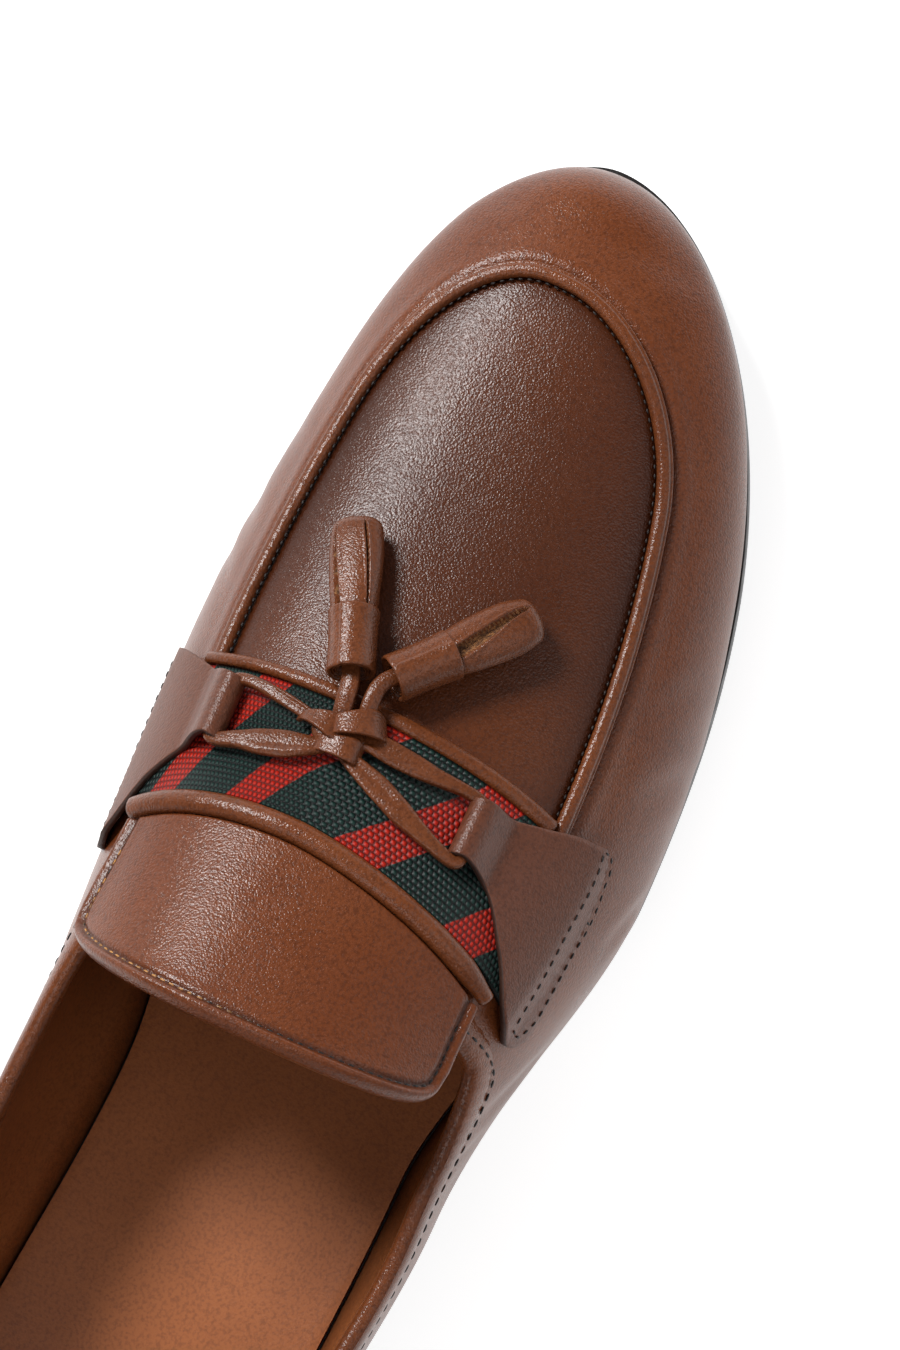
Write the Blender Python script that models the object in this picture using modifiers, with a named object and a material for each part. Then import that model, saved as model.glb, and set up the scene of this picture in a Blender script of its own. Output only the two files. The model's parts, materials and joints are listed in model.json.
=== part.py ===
"""A tassel loafer for the right foot, built from its maker's pieces.

In the shoe's own measure x runs from the sole's heel end to its toe, +Y is the medial side and
z = 0 is the floor. The last's surface is worked out by `section`, `last_point` and `skin`, and
every piece lies on it. The origin is under the middle of the shoe.
"""
from math import pi

import bmesh
import bpy
import numpy as np

MEDIAL, LATERAL = 1, -1
SIDES = (MEDIAL, LATERAL)

# Sizes of the shoe in metres
LENGTH = 0.300
BALL_WIDTH = 0.0956
WAIST_WIDTH = 0.0796
HEEL_WIDTH = 0.0710
INSTEP = 0.0930
COLLAR = 0.0810
HEEL_SEAT = 0.0220
SOLE = 0.0045
TOE_SPRING = 0.0090
WALL = 0.0018
INSOLE = 0.0022
INSOLE_INSET = 1.35 * WALL
GAP = 0.0003
MERGE = 0.00001

# Small step, as a share, for slopes that are read off the surface
NUDGE = 0.002

# Stations as shares of the length
HEEL_X = 0.1233 * LENGTH
SEAT_X = 0.1933 * LENGTH
BREAST_X = 0.2500 * LENGTH
WAIST_X = 0.3733 * LENGTH
OPEN_X = 0.4667 * LENGTH
THROAT_X = 0.5033 * LENGTH
TREAD_X = 0.6200 * LENGTH
SPRING_X = 0.7200 * LENGTH
NOSE_X = 0.8867 * LENGTH
BALL_X = {MEDIAL: 0.650 * LENGTH, LATERAL: 0.590 * LENGTH}

# Each side's share of a width, and how far the feather line lies inside the girth
BALL_SHARE = {MEDIAL: 0.441, LATERAL: 0.559}
WAIST_SHARE = {MEDIAL: 0.455, LATERAL: 0.545}
HEEL_SHARE = {MEDIAL: 0.5, LATERAL: 0.5}
TUCK = {MEDIAL: (0.0045, 0.0105, 0.0022), LATERAL: (0.0045, 0.0090, 0.0028)}
NO_TUCK = (0.0, 0.0, 0.0)

# How far the sole stands out beyond the feather line, at heel, side and toe
HEEL_EDGE = 0.0006
SIDE_EDGE = 0.0020
TOE_EDGE = 0.0032
BACK_X = HEEL_EDGE
TOE_X = LENGTH - TOE_EDGE

# Exponents of the rounded ends and of the toe's lift
HEEL_ROUND = 2.15
TOE_ROUND = {MEDIAL: (2.0, 1.9), LATERAL: (2.1, 1.93)}
NOSE_ROUND = (2.6, 2.3)
SPRING_CURVE = 1.8

# The last from heel to toe: station as a share of the length, top line and girth line as shares
# of the instep, sideways place of the top line and the middle as shares of the ball's width, and
# the squareness of the section on each side
LAST_COLUMNS = ("at", "top", "girth", "top_y", "middle", "square_in", "square_out")
LAST = [
    (0.000, 1.376, 0.258, -0.026, -0.026, 2.00, 2.00),
    (0.123, 1.355, 0.243, -0.026, -0.026, 2.00, 2.00),
    (0.233, 1.258, 0.240, -0.026, -0.024, 2.00, 2.50),
    (0.333, 1.108, 0.254, -0.023, -0.019, 2.00, 2.90),
    (0.400, 1.000, 0.254, -0.018, -0.014, 2.00, 2.90),
    (0.487, 0.849, 0.210, -0.002, -0.001, 2.05, 2.40),
    (0.583, 0.699, 0.159, 0.019, 0.000, 2.13, 2.15),
    (0.683, 0.565, 0.132, 0.043, 0.001, 2.23, 2.23),
    (0.783, 0.468, 0.118, 0.051, 0.009, 2.28, 2.28),
    (0.873, 0.409, 0.108, 0.048, 0.027, 2.29, 2.29),
    (0.953, 0.371, 0.101, 0.052, 0.048, 2.15, 2.15),
    (1.000, 0.355, 0.097, 0.058, 0.058, 2.10, 2.10),
]
GIRTH_CAP = 0.42
GIRTH_W = 0.25

# The topline's height as a share of the collar's, at shares of the length
TOPLINE_COLUMNS = ("at", "inner", "outer")
TOPLINE = [
    (0.000, 1.000, 1.000),
    (0.050, 0.963, 0.963),
    (0.123, 0.864, 0.852),
    (0.267, 0.765, 0.728),
    (0.367, 0.765, 0.691),
    (0.460, 0.815, 0.716),
    (0.503, 0.852, 0.765),
]

# The upper's grid: the share of its rows below the girth line, and of its stations at the end
# of the heel's fan and at the throat
GIRTH_V = 1 / 3
HEEL_U = 0.16
THROAT_U = 0.55

# Apron seam: its side lines as shares of the way from the top line to the feather line
PIPING = 0.0013
APRON_REAR_X = {MEDIAL: 0.632 * LENGTH, LATERAL: 0.624 * LENGTH}
APRON_BEND_X = 0.803 * LENGTH
APRON_TIP_X = 0.919 * LENGTH
APRON_Q = {MEDIAL: (0.345, 0.372), LATERAL: (0.380, 0.365)}
APRON_ROUND = (2.3, 2.1)
PIPING_POINTS = 56

# Instep saddle: a band of webbing between a thin front binding and a thick rear one
BAND = 0.0012
BAND_FRONT_X = 0.6370 * LENGTH
BAND_REAR_X = 0.5613 * LENGTH
FRONT_BOW = {MEDIAL: 0.090 * LENGTH, LATERAL: 0.163 * LENGTH}
REAR_BOW = {MEDIAL: 0.177 * LENGTH, LATERAL: 0.166 * LENGTH}
REAR_POWER = {MEDIAL: 2.0, LATERAL: 1.5}
BAND_Q = {MEDIAL: 0.47, LATERAL: 0.45}
FRONT_ROLL_Q = {MEDIAL: 0.36, LATERAL: 0.345}
REAR_ROLL_Q = {MEDIAL: 0.385, LATERAL: 0.375}
FRONT_ROLL = 0.0011
REAR_ROLL = 0.0020

# Tongue: the squareness of its free end's corners is an exponent
TONGUE = 0.0025
TONGUE_X = 0.4370 * LENGTH
TONGUE_CORNER = 0.0070
TONGUE_SQUARE = 6
TONGUE_Q = {MEDIAL: (0.390, 0.440), LATERAL: (0.400, 0.445)}

# Saddle tabs: rows from the tunnel out to the sewn end, at shares of the tab's reach, with the
# rear and front edges as shares of the length
TAB = 0.0012
TUNNEL = 0.0019
TUNNEL_RISE = 0.0070
TAB_COLUMNS = ("reach", "rear", "front")
TAB_ROWS = {
    MEDIAL: [(0.00, 0.581, 0.6187), (0.15, 0.573, 0.6187), (0.40, 0.548, 0.6210),
             (0.70, 0.505, 0.6230), (0.90, 0.494, 0.6220), (1.00, 0.502, 0.6130)],
    LATERAL: [(0.00, 0.576, 0.6110), (0.15, 0.570, 0.6100), (0.40, 0.538, 0.6130),
              (0.70, 0.500, 0.6170), (0.90, 0.490, 0.6170), (1.00, 0.497, 0.6080)],
}
TUNNEL_Q = {MEDIAL: 0.235, LATERAL: 0.228}
TAB_Q = {MEDIAL: (0.600, 0.530), LATERAL: (0.580, 0.500)}

# The share of a tab at which its fold starts and the fold's turn, and where the tab steps up onto
# the band: how far outside the band's end, and over what run, as shares of the way down
CURL_FROM = 0.62
CURL = pi * 1.25
STEP_OUT = 0.07
STEP_RUN = 0.06

# Thong: it rises and thickens from its flat runs to the tunnels' bores over a run of the way down.
# Its two loops are rows of station (share of the length) and share of the way from the top line.
LACE_WIDTH = 0.0034
LACE = 0.0013
LACE_ROUND = 0.0020
LACE_LIFT = 0.0040
LACE_SQUARE = 0.75
BORE_FROM = 0.12
BORE_RUN = 0.08
LOOP_POINTS = 37
LOOP_COLUMNS = ("at", "down")
BORE_LIFT = BAND + 2 * GAP + TUNNEL + TAB / 2
LOOPS = {
    MEDIAL: [(0.6150, 0.050), (0.6175, 0.100), (0.6240, 0.160), (0.6280, 0.205), (0.6265, 0.232),
             (0.6170, 0.235), (0.6000, 0.235), (0.5830, 0.235), (0.5720, 0.232), (0.5690, 0.205),
             (0.5750, 0.150), (0.5870, 0.090), (0.5985, 0.048)],
    LATERAL: [(0.6150, 0.056), (0.6155, 0.105), (0.6185, 0.165), (0.6210, 0.200), (0.6190, 0.225),
              (0.6090, 0.228), (0.5930, 0.228), (0.5770, 0.228), (0.5670, 0.225), (0.5640, 0.200),
              (0.5730, 0.150), (0.5880, 0.095), (0.5985, 0.056)],
}
KNOT_AT = (0.6080, 0.002)
KNOT_SIZE = (0.0052, 0.0036, 0.0027)
KNOT_LIFT = 0.0046
KNOT_ROUND = 0.7
WRAP_RISE = 0.0005
WRAP_HALF = 0.5

# Tassels: the head's profile is in shares of its length and radius. The core ends and narrows at
# shares of its own; the strips start inside the head, bulge on their way and end by turns.
HEAD = 0.0046
HEAD_LENGTH = 0.0120
HEAD_PROFILE = [(0, 0), (0, 0.86), (0.04, 1.0), (0.5, 0.97), (0.93, 1.03), (1, 0.94)]
CORE = 0.0031
CORE_END = 0.90
CORE_TAPER = 0.85
STRIPS = 7
STRIP = 0.0013
STRIP_WIDTH = 0.0031
STRIP_FLARE = (0.9, 0.15)
STRIP_SEAT = 0.35
STRIP_ROOT = 0.0010
STRIP_POINTS = 7
STRIP_TIP = 0.6
BULGE = 0.0009
BULGE_TURN = pi * 0.8
STAGGER = 0.05
STEM = 0.0016

# Where each head's base and skirt's tip lie (station, share, height above the last)
TASSELS = {
    "tassel_front": ((0.6450, 0.012, 0.0062), (0.7333, 0.130, 0.0052)),
    "tassel_lateral": ((0.6520, -0.036, 0.0062), (0.7230, -0.188, 0.0052)),
}
STEM_STARTS = {"tassel_front": (0.6290, 0.012), "tassel_lateral": (0.6290, -0.012)}

BROWN = (0.16, 0.055, 0.022, 1.0)
DARK_BROWN = (0.10, 0.035, 0.015, 1.0)
TAN = (0.24, 0.10, 0.045, 1.0)
BLACK = (0.012, 0.011, 0.010, 1.0)
GREEN = (0.010, 0.040, 0.030, 1.0)


def smooth(x, xs, ys):
    """A monotone cubic through a table's points."""
    xs, ys = np.asarray(xs, float), np.asarray(ys, float)
    x = np.clip(x, xs[0], xs[-1])
    step = np.diff(xs)
    rise = np.diff(ys) / step
    slope = np.concatenate([rise[:1], np.zeros(len(xs) - 2), rise[-1:]])
    near, far = 2 * step[1:] + step[:-1], step[1:] + 2 * step[:-1]
    same = rise[:-1] * rise[1:] > 0
    before, after = np.where(same, rise[:-1], 1), np.where(same, rise[1:], 1)
    slope[1:-1] = np.where(same, (near + far) / (near / before + far / after), 0)
    i = np.clip(np.searchsorted(xs, x) - 1, 0, len(xs) - 2)
    h, t = step[i], (x - xs[i]) / step[i]
    return (ys[i] * (1 + 2 * t) * (1 - t) ** 2 + slope[i] * h * t * (1 - t) ** 2
            + ys[i + 1] * t * t * (3 - 2 * t) + slope[i + 1] * h * t * t * (t - 1))


def look_up(rows, columns, name, x, unit=LENGTH):
    """A named column of a table at the station x."""
    table = np.array(rows)
    return smooth(np.asarray(x, float) / unit, table[:, 0], table[:, columns.index(name)])


def ease(t):
    t = np.clip(t, 0, 1)
    return t * t * (3 - 2 * t)


def last(name, x):
    return look_up(LAST, LAST_COLUMNS, name, x)


def middle(x):
    return last("middle", x) * BALL_WIDTH


def seat_height(x):
    """Height of the sole's upper face, which the upper stands on."""
    x = np.asarray(x, float)
    arch = (HEEL_SEAT - SOLE) * (1 - ease((x - SEAT_X) / (TREAD_X - SEAT_X)))
    toe = np.clip((x - SPRING_X) / (LENGTH - SPRING_X), 0, None)
    return SOLE + arch + TOE_SPRING * toe ** SPRING_CURVE


def half_width(x, side, tuck=NO_TUCK, grow=NO_TUCK):
    """Half width of the last on one side: its girth, less a tuck, grown at heel, side and toe."""
    x = np.asarray(x, float)
    full = (HEEL_WIDTH * HEEL_SHARE[side], WAIST_WIDTH * WAIST_SHARE[side],
            BALL_WIDTH * BALL_SHARE[side])
    extra = (grow[0], grow[1], grow[1])
    heel, waist, ball = (full[i] - tuck[i] + extra[i] for i in range(3))
    back, tip = BACK_X - grow[0], TOE_X + grow[2]
    side_line = np.where(x < WAIST_X,
                         heel + (waist - heel) * ease((x - HEEL_X) / (WAIST_X - HEEL_X)),
                         waist + (ball - waist) * ease((x - WAIST_X) / (BALL_X[side] - WAIST_X)))
    t = np.clip((x - BALL_X[side]) / (tip - BALL_X[side]), 0, 1)
    p, q = TOE_ROUND[side]
    toe_line = (side_line + (grow[2] - grow[1]) * ease(t)) * (1 - t ** p) ** (1 / q)
    s = np.clip((HEEL_X - x) / (HEEL_X - back), 0, 1)
    return toe_line * (1 - s ** HEEL_ROUND) ** (1 / HEEL_ROUND)


def nose(x):
    p, q = NOSE_ROUND
    t = np.clip((np.asarray(x, float) - NOSE_X) / (TOE_X - NOSE_X), 0, 1)
    return (1 - t ** p) ** (1 / q)


def heights(x):
    """Heights of feather line, girth line and top line."""
    feather = seat_height(x) + GAP
    top = feather + (last("top", x) * INSTEP - feather) * nose(x)
    girth = feather + np.minimum(last("girth", x) * INSTEP, GIRTH_CAP * (top - feather))
    return feather, girth, top


def section(x, side, w):
    """A point of the last's section at x, from the feather line (w 0) to the top line (w 1)."""
    x, w = np.broadcast_arrays(np.asarray(x, float), np.asarray(w, float))
    feather, girth, top = heights(x)
    mid = middle(x)
    wide = np.maximum(half_width(np.maximum(x, HEEL_X), side), 0)
    low = np.maximum(half_width(np.maximum(x, HEEL_X), side, TUCK[side]), 0)
    top_y = mid + (last("top_y", x) * BALL_WIDTH - mid) * nose(x)
    e = 2 / last("square_in" if side == MEDIAL else "square_out", x)
    t = np.clip(w / GIRTH_W, 0, 1)
    a = np.clip((w - GIRTH_W) / (1 - GIRTH_W), 0, 1) * pi / 2
    under = w < GIRTH_W
    y = np.where(under, mid + side * (low + (wide - low) * (1 - (1 - t) ** 2)),
                 top_y + (mid + side * wide - top_y) * np.cos(a) ** e)
    z = np.where(under, feather + (girth - feather) * t, girth + (top - girth) * np.sin(a) ** e)
    return y, z


def station(u):
    """Station of the share u: the heel's stations fan out from HEEL_X, the toe's crowd together."""
    u = np.asarray(u, float)
    quarter = (THROAT_X - HEEL_X) * np.clip((u - HEEL_U) / (THROAT_U - HEEL_U), 0, 1)
    vamp = (TOE_X - THROAT_X) * np.sin(np.clip((u - THROAT_U) / (1 - THROAT_U), 0, 1) * pi / 2)
    return HEEL_X + quarter + vamp


def last_point(u, side, w):
    """A point of the upper's outer face; u runs from the heel's back (0) to the toe's tip (1)."""
    u, w = np.broadcast_arrays(np.asarray(u, float), np.asarray(w, float))
    x = station(u)
    y, z = section(x, side, w)
    turn = np.clip(1 - u / HEEL_U, 0, 1) * pi / 2
    heel_mid = middle(HEEL_X)
    reach = np.abs(y - heel_mid)
    low = half_width(HEEL_X, side, TUCK[side])
    back = HEEL_X - reach * (HEEL_X - BACK_X) / low * np.sin(turn) ** (2 / HEEL_ROUND)
    round_y = heel_mid + side * reach * np.cos(turn) ** (2 / HEEL_ROUND)
    fan = u < HEEL_U
    return np.stack([np.where(fan, back, x), np.where(fan, round_y, y), z], -1)


def topline_w(u, side):
    """How far up the section the upper reaches at the share u."""
    feather_x = last_point(u, side, 0.0)[..., 0]
    rim = look_up(TOPLINE, TOPLINE_COLUMNS, "inner" if side == MEDIAL else "outer", feather_x)
    x = station(u)
    feather, girth, top = heights(x)
    e = 2 / last("square_in" if side == MEDIAL else "square_out", x)
    climb = np.clip((rim * COLLAR - girth) / np.maximum(top - girth, GAP), 0, 1)
    w = GIRTH_W + (1 - GIRTH_W) * np.arcsin(climb ** (1 / e)) * 2 / pi
    t = np.clip((x - OPEN_X) / (THROAT_X - OPEN_X), 0, 1)
    return np.where(np.asarray(u) < THROAT_U, w + (1 - w) * (1 - np.sqrt(1 - t * t)), 1.0)


def skin(x, q, lift=0.0):
    """A point above the upper: q is +1 at the medial feather line, 0 on the top line, and lift
    is the height above the upper's outer face."""
    def surface(x, q):
        inner, outer = section(x, MEDIAL, 1 - np.abs(q)), section(x, LATERAL, 1 - np.abs(q))
        y, z = (np.where(q >= 0, inner[i], outer[i]) for i in range(2))
        return np.stack([x + 0 * q, y, z], -1)
    x, q, lift = np.broadcast_arrays(*(np.asarray(v, float) for v in (x, q, lift)))
    along = surface(x + NUDGE * LENGTH, q) - surface(x - NUDGE * LENGTH, q)
    across = surface(x, q + NUDGE) - surface(x, q - NUDGE)
    normal = np.cross(along, across)
    normal /= np.linalg.norm(normal, axis=-1)[..., None]
    return surface(x, q) + normal * lift[..., None]


def skin_axes(x, q):
    """Outward normal and the direction towards the top line, at one point of the upper."""
    foot = skin(x, q)
    normal = skin(x, q, GAP) - foot
    inward = skin(x, q - np.sign(q) * 5 * NUDGE) - foot
    return normal / np.linalg.norm(normal), inward / np.linalg.norm(inward)


def shoe_middle():
    """The middle of the shoe's footprint, which the origin stands under."""
    u = np.linspace(0, 1, 400)
    widest = np.concatenate([last_point(u, side, GIRTH_W) for side in SIDES])
    x0, x1 = widest[:, 0].min(), LENGTH
    return np.array([(x0 + x1) / 2, (widest[:, 1].max() + widest[:, 1].min()) / 2, 0.0])


ORIGIN = shoe_middle()


def make_collection(name):
    collection = bpy.data.collections.new(name)
    bpy.context.scene.collection.children.link(collection)
    return collection


def make_material(name, colour, roughness):
    material = bpy.data.materials.new(name)
    material.use_nodes = True
    shader = material.node_tree.nodes["Principled BSDF"]
    shader.inputs["Base Color"].default_value = colour
    shader.inputs["Roughness"].default_value = roughness
    return material


def add_object(name, data, colour=None, roughness=0.5, collection=None):
    obj = bpy.data.objects.new(name, data)
    (collection or parts).objects.link(obj)
    if colour:
        data.materials.append(make_material(name, colour, roughness))
    return obj


def add_mesh(name, bm, **looks):
    mesh = bpy.data.meshes.new(name)
    bm.to_mesh(mesh)
    bm.free()
    mesh.shade_smooth()
    return add_object(name, mesh, **looks)


def laid_grid(cells_u, cells_v, place):
    """A grid on the unit square, with each vertex moved to place(u, v)."""
    bm = bmesh.new()
    bmesh.ops.create_grid(bm, x_segments=cells_u, y_segments=cells_v, size=0.5)
    flat = np.array([v.co[:] for v in bm.verts]) + 0.5
    for vertex, spot in zip(bm.verts, place(flat[:, 0], flat[:, 1]) - ORIGIN):
        vertex.co = spot
    return bm


def close_up(bm):
    """Merge the meeting edges, fill what is left open and turn the faces outwards."""
    bmesh.ops.remove_doubles(bm, verts=bm.verts, dist=MERGE)
    bmesh.ops.dissolve_degenerate(bm, edges=bm.edges, dist=MERGE)
    rims = [e for e in bm.edges if e.is_boundary]
    if rims:
        bmesh.ops.holes_fill(bm, edges=rims)
    bmesh.ops.recalc_face_normals(bm, faces=bm.faces)


def thicken(obj, thickness, offset):
    shell = obj.modifiers.new("wall", "SOLIDIFY")
    shell.thickness = thickness
    shell.offset = offset
    return obj


def round_heel(back, count=7):
    """Stations of a round heel end, close together at the back."""
    return back + (HEEL_X - back) * (1 - np.cos(np.linspace(0, pi / 2, count)))


def sole_stations(back, tip):
    """Stations of a sole piece, with both ends of the flat tread among them."""
    arch = np.linspace(HEEL_X, TREAD_X, 10)[1:]
    toe = SPRING_X + (tip - SPRING_X) * np.sin(np.linspace(0, pi / 2, 10))
    return np.concatenate([round_heel(back), arch, toe])


def slab(name, stations, rows, outline, top, under, **looks):
    """A flat piece between two height functions; its outline gives y on each side at x."""
    def place(u, v):
        x = np.interp(u, np.linspace(0, 1, len(stations)), stations)
        y = outline(x, LATERAL) + (outline(x, MEDIAL) - outline(x, LATERAL)) * v
        return np.stack([x, y, top(x)], -1)
    bm = laid_grid(len(stations) - 1, rows, place)
    bmesh.ops.remove_doubles(bm, verts=bm.verts, dist=MERGE)
    lower = bmesh.ops.extrude_face_region(bm, geom=bm.faces[:])["geom"]
    for vertex in (g for g in lower if isinstance(g, bmesh.types.BMVert)):
        vertex.co.z = under(vertex.co.x + ORIGIN[0])
    close_up(bm)
    return add_mesh(name, bm, **looks)


def sole_line(grow):
    """Outline of a sole piece: the feather line grown at heel, side and toe."""
    def outline(x, side):
        return middle(np.clip(x, 0, LENGTH)) + side * half_width(x, side, TUCK[side], grow)
    return outline


def sheet_over(name, cells, thickness, place, **looks):
    """A sheet whose inner face is place(u, v), thickened away from the last."""
    bm = laid_grid(*cells, place)
    bmesh.ops.recalc_face_normals(bm, faces=bm.faces)
    face = min(bm.faces, key=lambda f: abs(f.calc_center_median().y))
    if face.normal.z < 0:
        bmesh.ops.reverse_faces(bm, faces=bm.faces)
    return thicken(add_mesh(name, bm, **looks), thickness, 1)


def tube(name, points, radius, colour):
    """A round piece along a run of points."""
    curve = bpy.data.curves.new(name, "CURVE")
    curve.dimensions = "3D"
    curve.bevel_depth = radius
    curve.bevel_resolution = 2
    curve.use_fill_caps = True
    spline = curve.splines.new("POLY")
    spline.points.add(len(points) - 1)
    for point, spot in zip(spline.points, points - ORIGIN):
        point.co = (*spot, 1.0)
    return add_object(name, curve, colour=colour)


def rounded(points, count):
    """Points read evenly from a smooth curve through the given ones."""
    points = np.asarray(points, float)
    reach = np.concatenate([[0], np.cumsum(np.linalg.norm(np.diff(points, axis=0), axis=1))])
    at = np.linspace(0, reach[-1], count)
    i = np.clip(np.searchsorted(reach, at) - 1, 0, len(points) - 2)
    t = ((at - reach[i]) / (reach[i + 1] - reach[i]))[:, None]
    ends = np.concatenate([[2 * points[0] - points[1]], points, [2 * points[-1] - points[-2]]])
    a, b, c, d = ends[i], ends[i + 1], ends[i + 2], ends[i + 3]
    return 0.5 * (2 * b + (c - a) * t + (2 * a - 5 * b + 4 * c - d) * t ** 2
                  + (3 * b - a - 3 * c + d) * t ** 3)


def make_outsole():
    slab("outsole", sole_stations(0.0, LENGTH), 6, sole_line((HEEL_EDGE, SIDE_EDGE, TOE_EDGE)),
         seat_height, lambda x: seat_height(x) - SOLE, colour=BLACK, roughness=0.5)


def make_heel():
    outline = sole_line((0.0, SIDE_EDGE, TOE_EDGE))
    stations = np.concatenate([round_heel(BACK_X), np.linspace(HEEL_X, BREAST_X, 4)[1:]])
    slab("heel", stations, 6, outline,
         lambda x: seat_height(x) - SOLE - GAP, lambda x: 0.0, colour=BLACK, roughness=0.45)


def make_insole():
    inset = -(INSOLE_INSET + GAP)
    stations = sole_stations(BACK_X - inset, TOE_X + inset)
    slab("insole", stations, 4, sole_line((inset, inset, inset)),
         lambda x: seat_height(x) + GAP + INSOLE, lambda x: seat_height(x) + GAP,
         colour=TAN, roughness=0.45)


def make_upper():
    bm = bmesh.new()
    for side in SIDES:
        def place(u, v):
            u = np.where(u < 0.5, u * 2 * THROAT_U, THROAT_U + (u - 0.5) * 2 * (1 - THROAT_U))
            low = np.minimum(v / GIRTH_V, 1) * GIRTH_W
            high = np.maximum(v - GIRTH_V, 0) / (1 - GIRTH_V)
            return last_point(u, side, low + high * (topline_w(u, side) - GIRTH_W))
        half = laid_grid(40, 12, place)
        mesh = bpy.data.meshes.new("half")
        half.to_mesh(mesh)
        half.free()
        bm.from_mesh(mesh)
        bpy.data.meshes.remove(mesh)
    bmesh.ops.remove_doubles(bm, verts=bm.verts, dist=MERGE)
    bmesh.ops.dissolve_degenerate(bm, edges=bm.edges, dist=MERGE)
    bmesh.ops.recalc_face_normals(bm, faces=bm.faces)
    highest = max(bm.faces, key=lambda f: f.calc_center_median().x)
    if highest.normal.x < 0:
        bmesh.ops.reverse_faces(bm, faces=bm.faces)
    thicken(add_mesh("upper", bm, colour=BROWN, roughness=0.4), WALL, -1)


def apron_point(t):
    """The apron seam, from its lateral end (t -1) round the toe to its medial end (t 1)."""
    side = MEDIAL if t > 0 else LATERAL
    a = np.clip((1 - abs(t)) * 2, 0, 1)
    rear, bend = APRON_Q[side]
    if abs(t) > 0.5:
        x = APRON_REAR_X[side] + (APRON_BEND_X - APRON_REAR_X[side]) * a
        q = rear + (bend - rear) * a
    else:
        p, r = APRON_ROUND
        turn = (0.5 - abs(t)) * pi
        x = APRON_BEND_X + (APRON_TIP_X - APRON_BEND_X) * np.sin(turn) ** (2 / p)
        q = bend * np.cos(turn) ** (2 / r)
    return skin(x, side * q, PIPING + GAP)


def make_piping():
    points = np.array([apron_point(t) for t in np.linspace(-1, 1, 61)])
    tube("apron_piping", rounded(points, PIPING_POINTS), PIPING, BROWN)


def front_line(q):
    bow = np.where(q > 0, FRONT_BOW[MEDIAL], FRONT_BOW[LATERAL])
    return BAND_FRONT_X - bow * q ** 2


def rear_line(q):
    inner = REAR_BOW[MEDIAL] * np.abs(q) ** REAR_POWER[MEDIAL]
    outer = REAR_BOW[LATERAL] * np.abs(q) ** REAR_POWER[LATERAL]
    return BAND_REAR_X - np.where(q > 0, inner, outer)


def beside(line, q, distance):
    """Station of a line that runs at a distance from another one over the instep."""
    run = skin(line(q + NUDGE), q + NUDGE) - skin(line(q - NUDGE), q - NUDGE)
    lean = run[..., 0] / np.linalg.norm(run, axis=-1)
    return line(q) + distance / np.sqrt(1 - lean ** 2)


def spread(v, reach):
    """A share from the lateral reach (v 0) to the medial reach (v 1)."""
    return -reach[LATERAL] + (reach[LATERAL] + reach[MEDIAL]) * v


def make_band():
    def place(u, v):
        q = spread(v, BAND_Q)
        front, rear = beside(front_line, q, -FRONT_ROLL - GAP), rear_line(q)
        return skin(rear + (front - rear) * u, q, GAP)
    sheet_over("web_band", (5, 20), BAND, place, colour=GREEN, roughness=0.8)


def roll_line(q):
    return beside(rear_line, q, -(REAR_ROLL + GAP))


def make_bindings():
    q = spread(np.linspace(0, 1, 26), FRONT_ROLL_Q)
    tube("front_binding", skin(front_line(q), q, FRONT_ROLL + GAP), FRONT_ROLL, BROWN)
    q = spread(np.linspace(0, 1, 26), REAR_ROLL_Q)
    tube("rear_binding", skin(roll_line(q), q, REAR_ROLL + GAP), REAR_ROLL, BROWN)


def make_tongue():
    def place(u, v):
        s = 2 * v - 1
        side_q = [np.where(s > 0, TONGUE_Q[MEDIAL][i], TONGUE_Q[LATERAL][i]) for i in range(2)]
        q = s * (side_q[0] + (side_q[1] - side_q[0]) * u)
        root = beside(rear_line, q, -2 * (REAR_ROLL + GAP))
        end = TONGUE_X + TONGUE_CORNER * (1 - (1 - np.abs(s) ** TONGUE_SQUARE) ** (1 / TONGUE_SQUARE))
        return skin(root + (end - root) * u, q, GAP)
    sheet_over("tongue", (7, 16), TONGUE, place, colour=BROWN, roughness=0.4)


def tab_point(side, s, t):
    """Middle of a tab's leather: s from the sewn end (0) through the fold's curl (1), t from the
    rear edge to the front edge."""
    out_q = TAB_Q[side][0] + (TAB_Q[side][1] - TAB_Q[side][0]) * t
    reach = np.clip(1 - s / CURL_FROM, 0, 1)
    rear = look_up(TAB_ROWS[side], TAB_COLUMNS, "rear", reach, 1) * LENGTH
    front = look_up(TAB_ROWS[side], TAB_COLUMNS, "front", reach, 1) * LENGTH
    x = rear + (front - rear) * t
    q = TUNNEL_Q[side] + (out_q - TUNNEL_Q[side]) * reach
    normal, inward = skin_axes(x, side * q)
    over_band = BAND * ease((BAND_Q[side] + STEP_OUT - q) / STEP_RUN)
    flat = GAP + TAB / 2 + over_band + (GAP if over_band > 0 else 0)
    if s < CURL_FROM:
        away = np.linalg.norm(skin(x, side * q) - skin(x, side * TUNNEL_Q[side]))
        rise = (BORE_LIFT + TUNNEL - flat) * (1 - ease(away / TUNNEL_RISE))
        return skin(x, side * q) + normal * (flat + rise)
    turn = pi / 2 - (s - CURL_FROM) / (1 - CURL_FROM) * CURL
    centre = skin(x, side * q) + normal * BORE_LIFT
    return centre + TUNNEL * (np.cos(turn) * inward + np.sin(turn) * normal)


def make_tab(name, side):
    def place(u, v):
        return np.array([tab_point(side, s, t) for s, t in zip(u, v)])
    bm = laid_grid(22, 6, place)
    bmesh.ops.recalc_face_normals(bm, faces=bm.faces)
    thicken(add_mesh(name, bm, colour=BROWN, roughness=0.4), TAB, 0)


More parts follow.
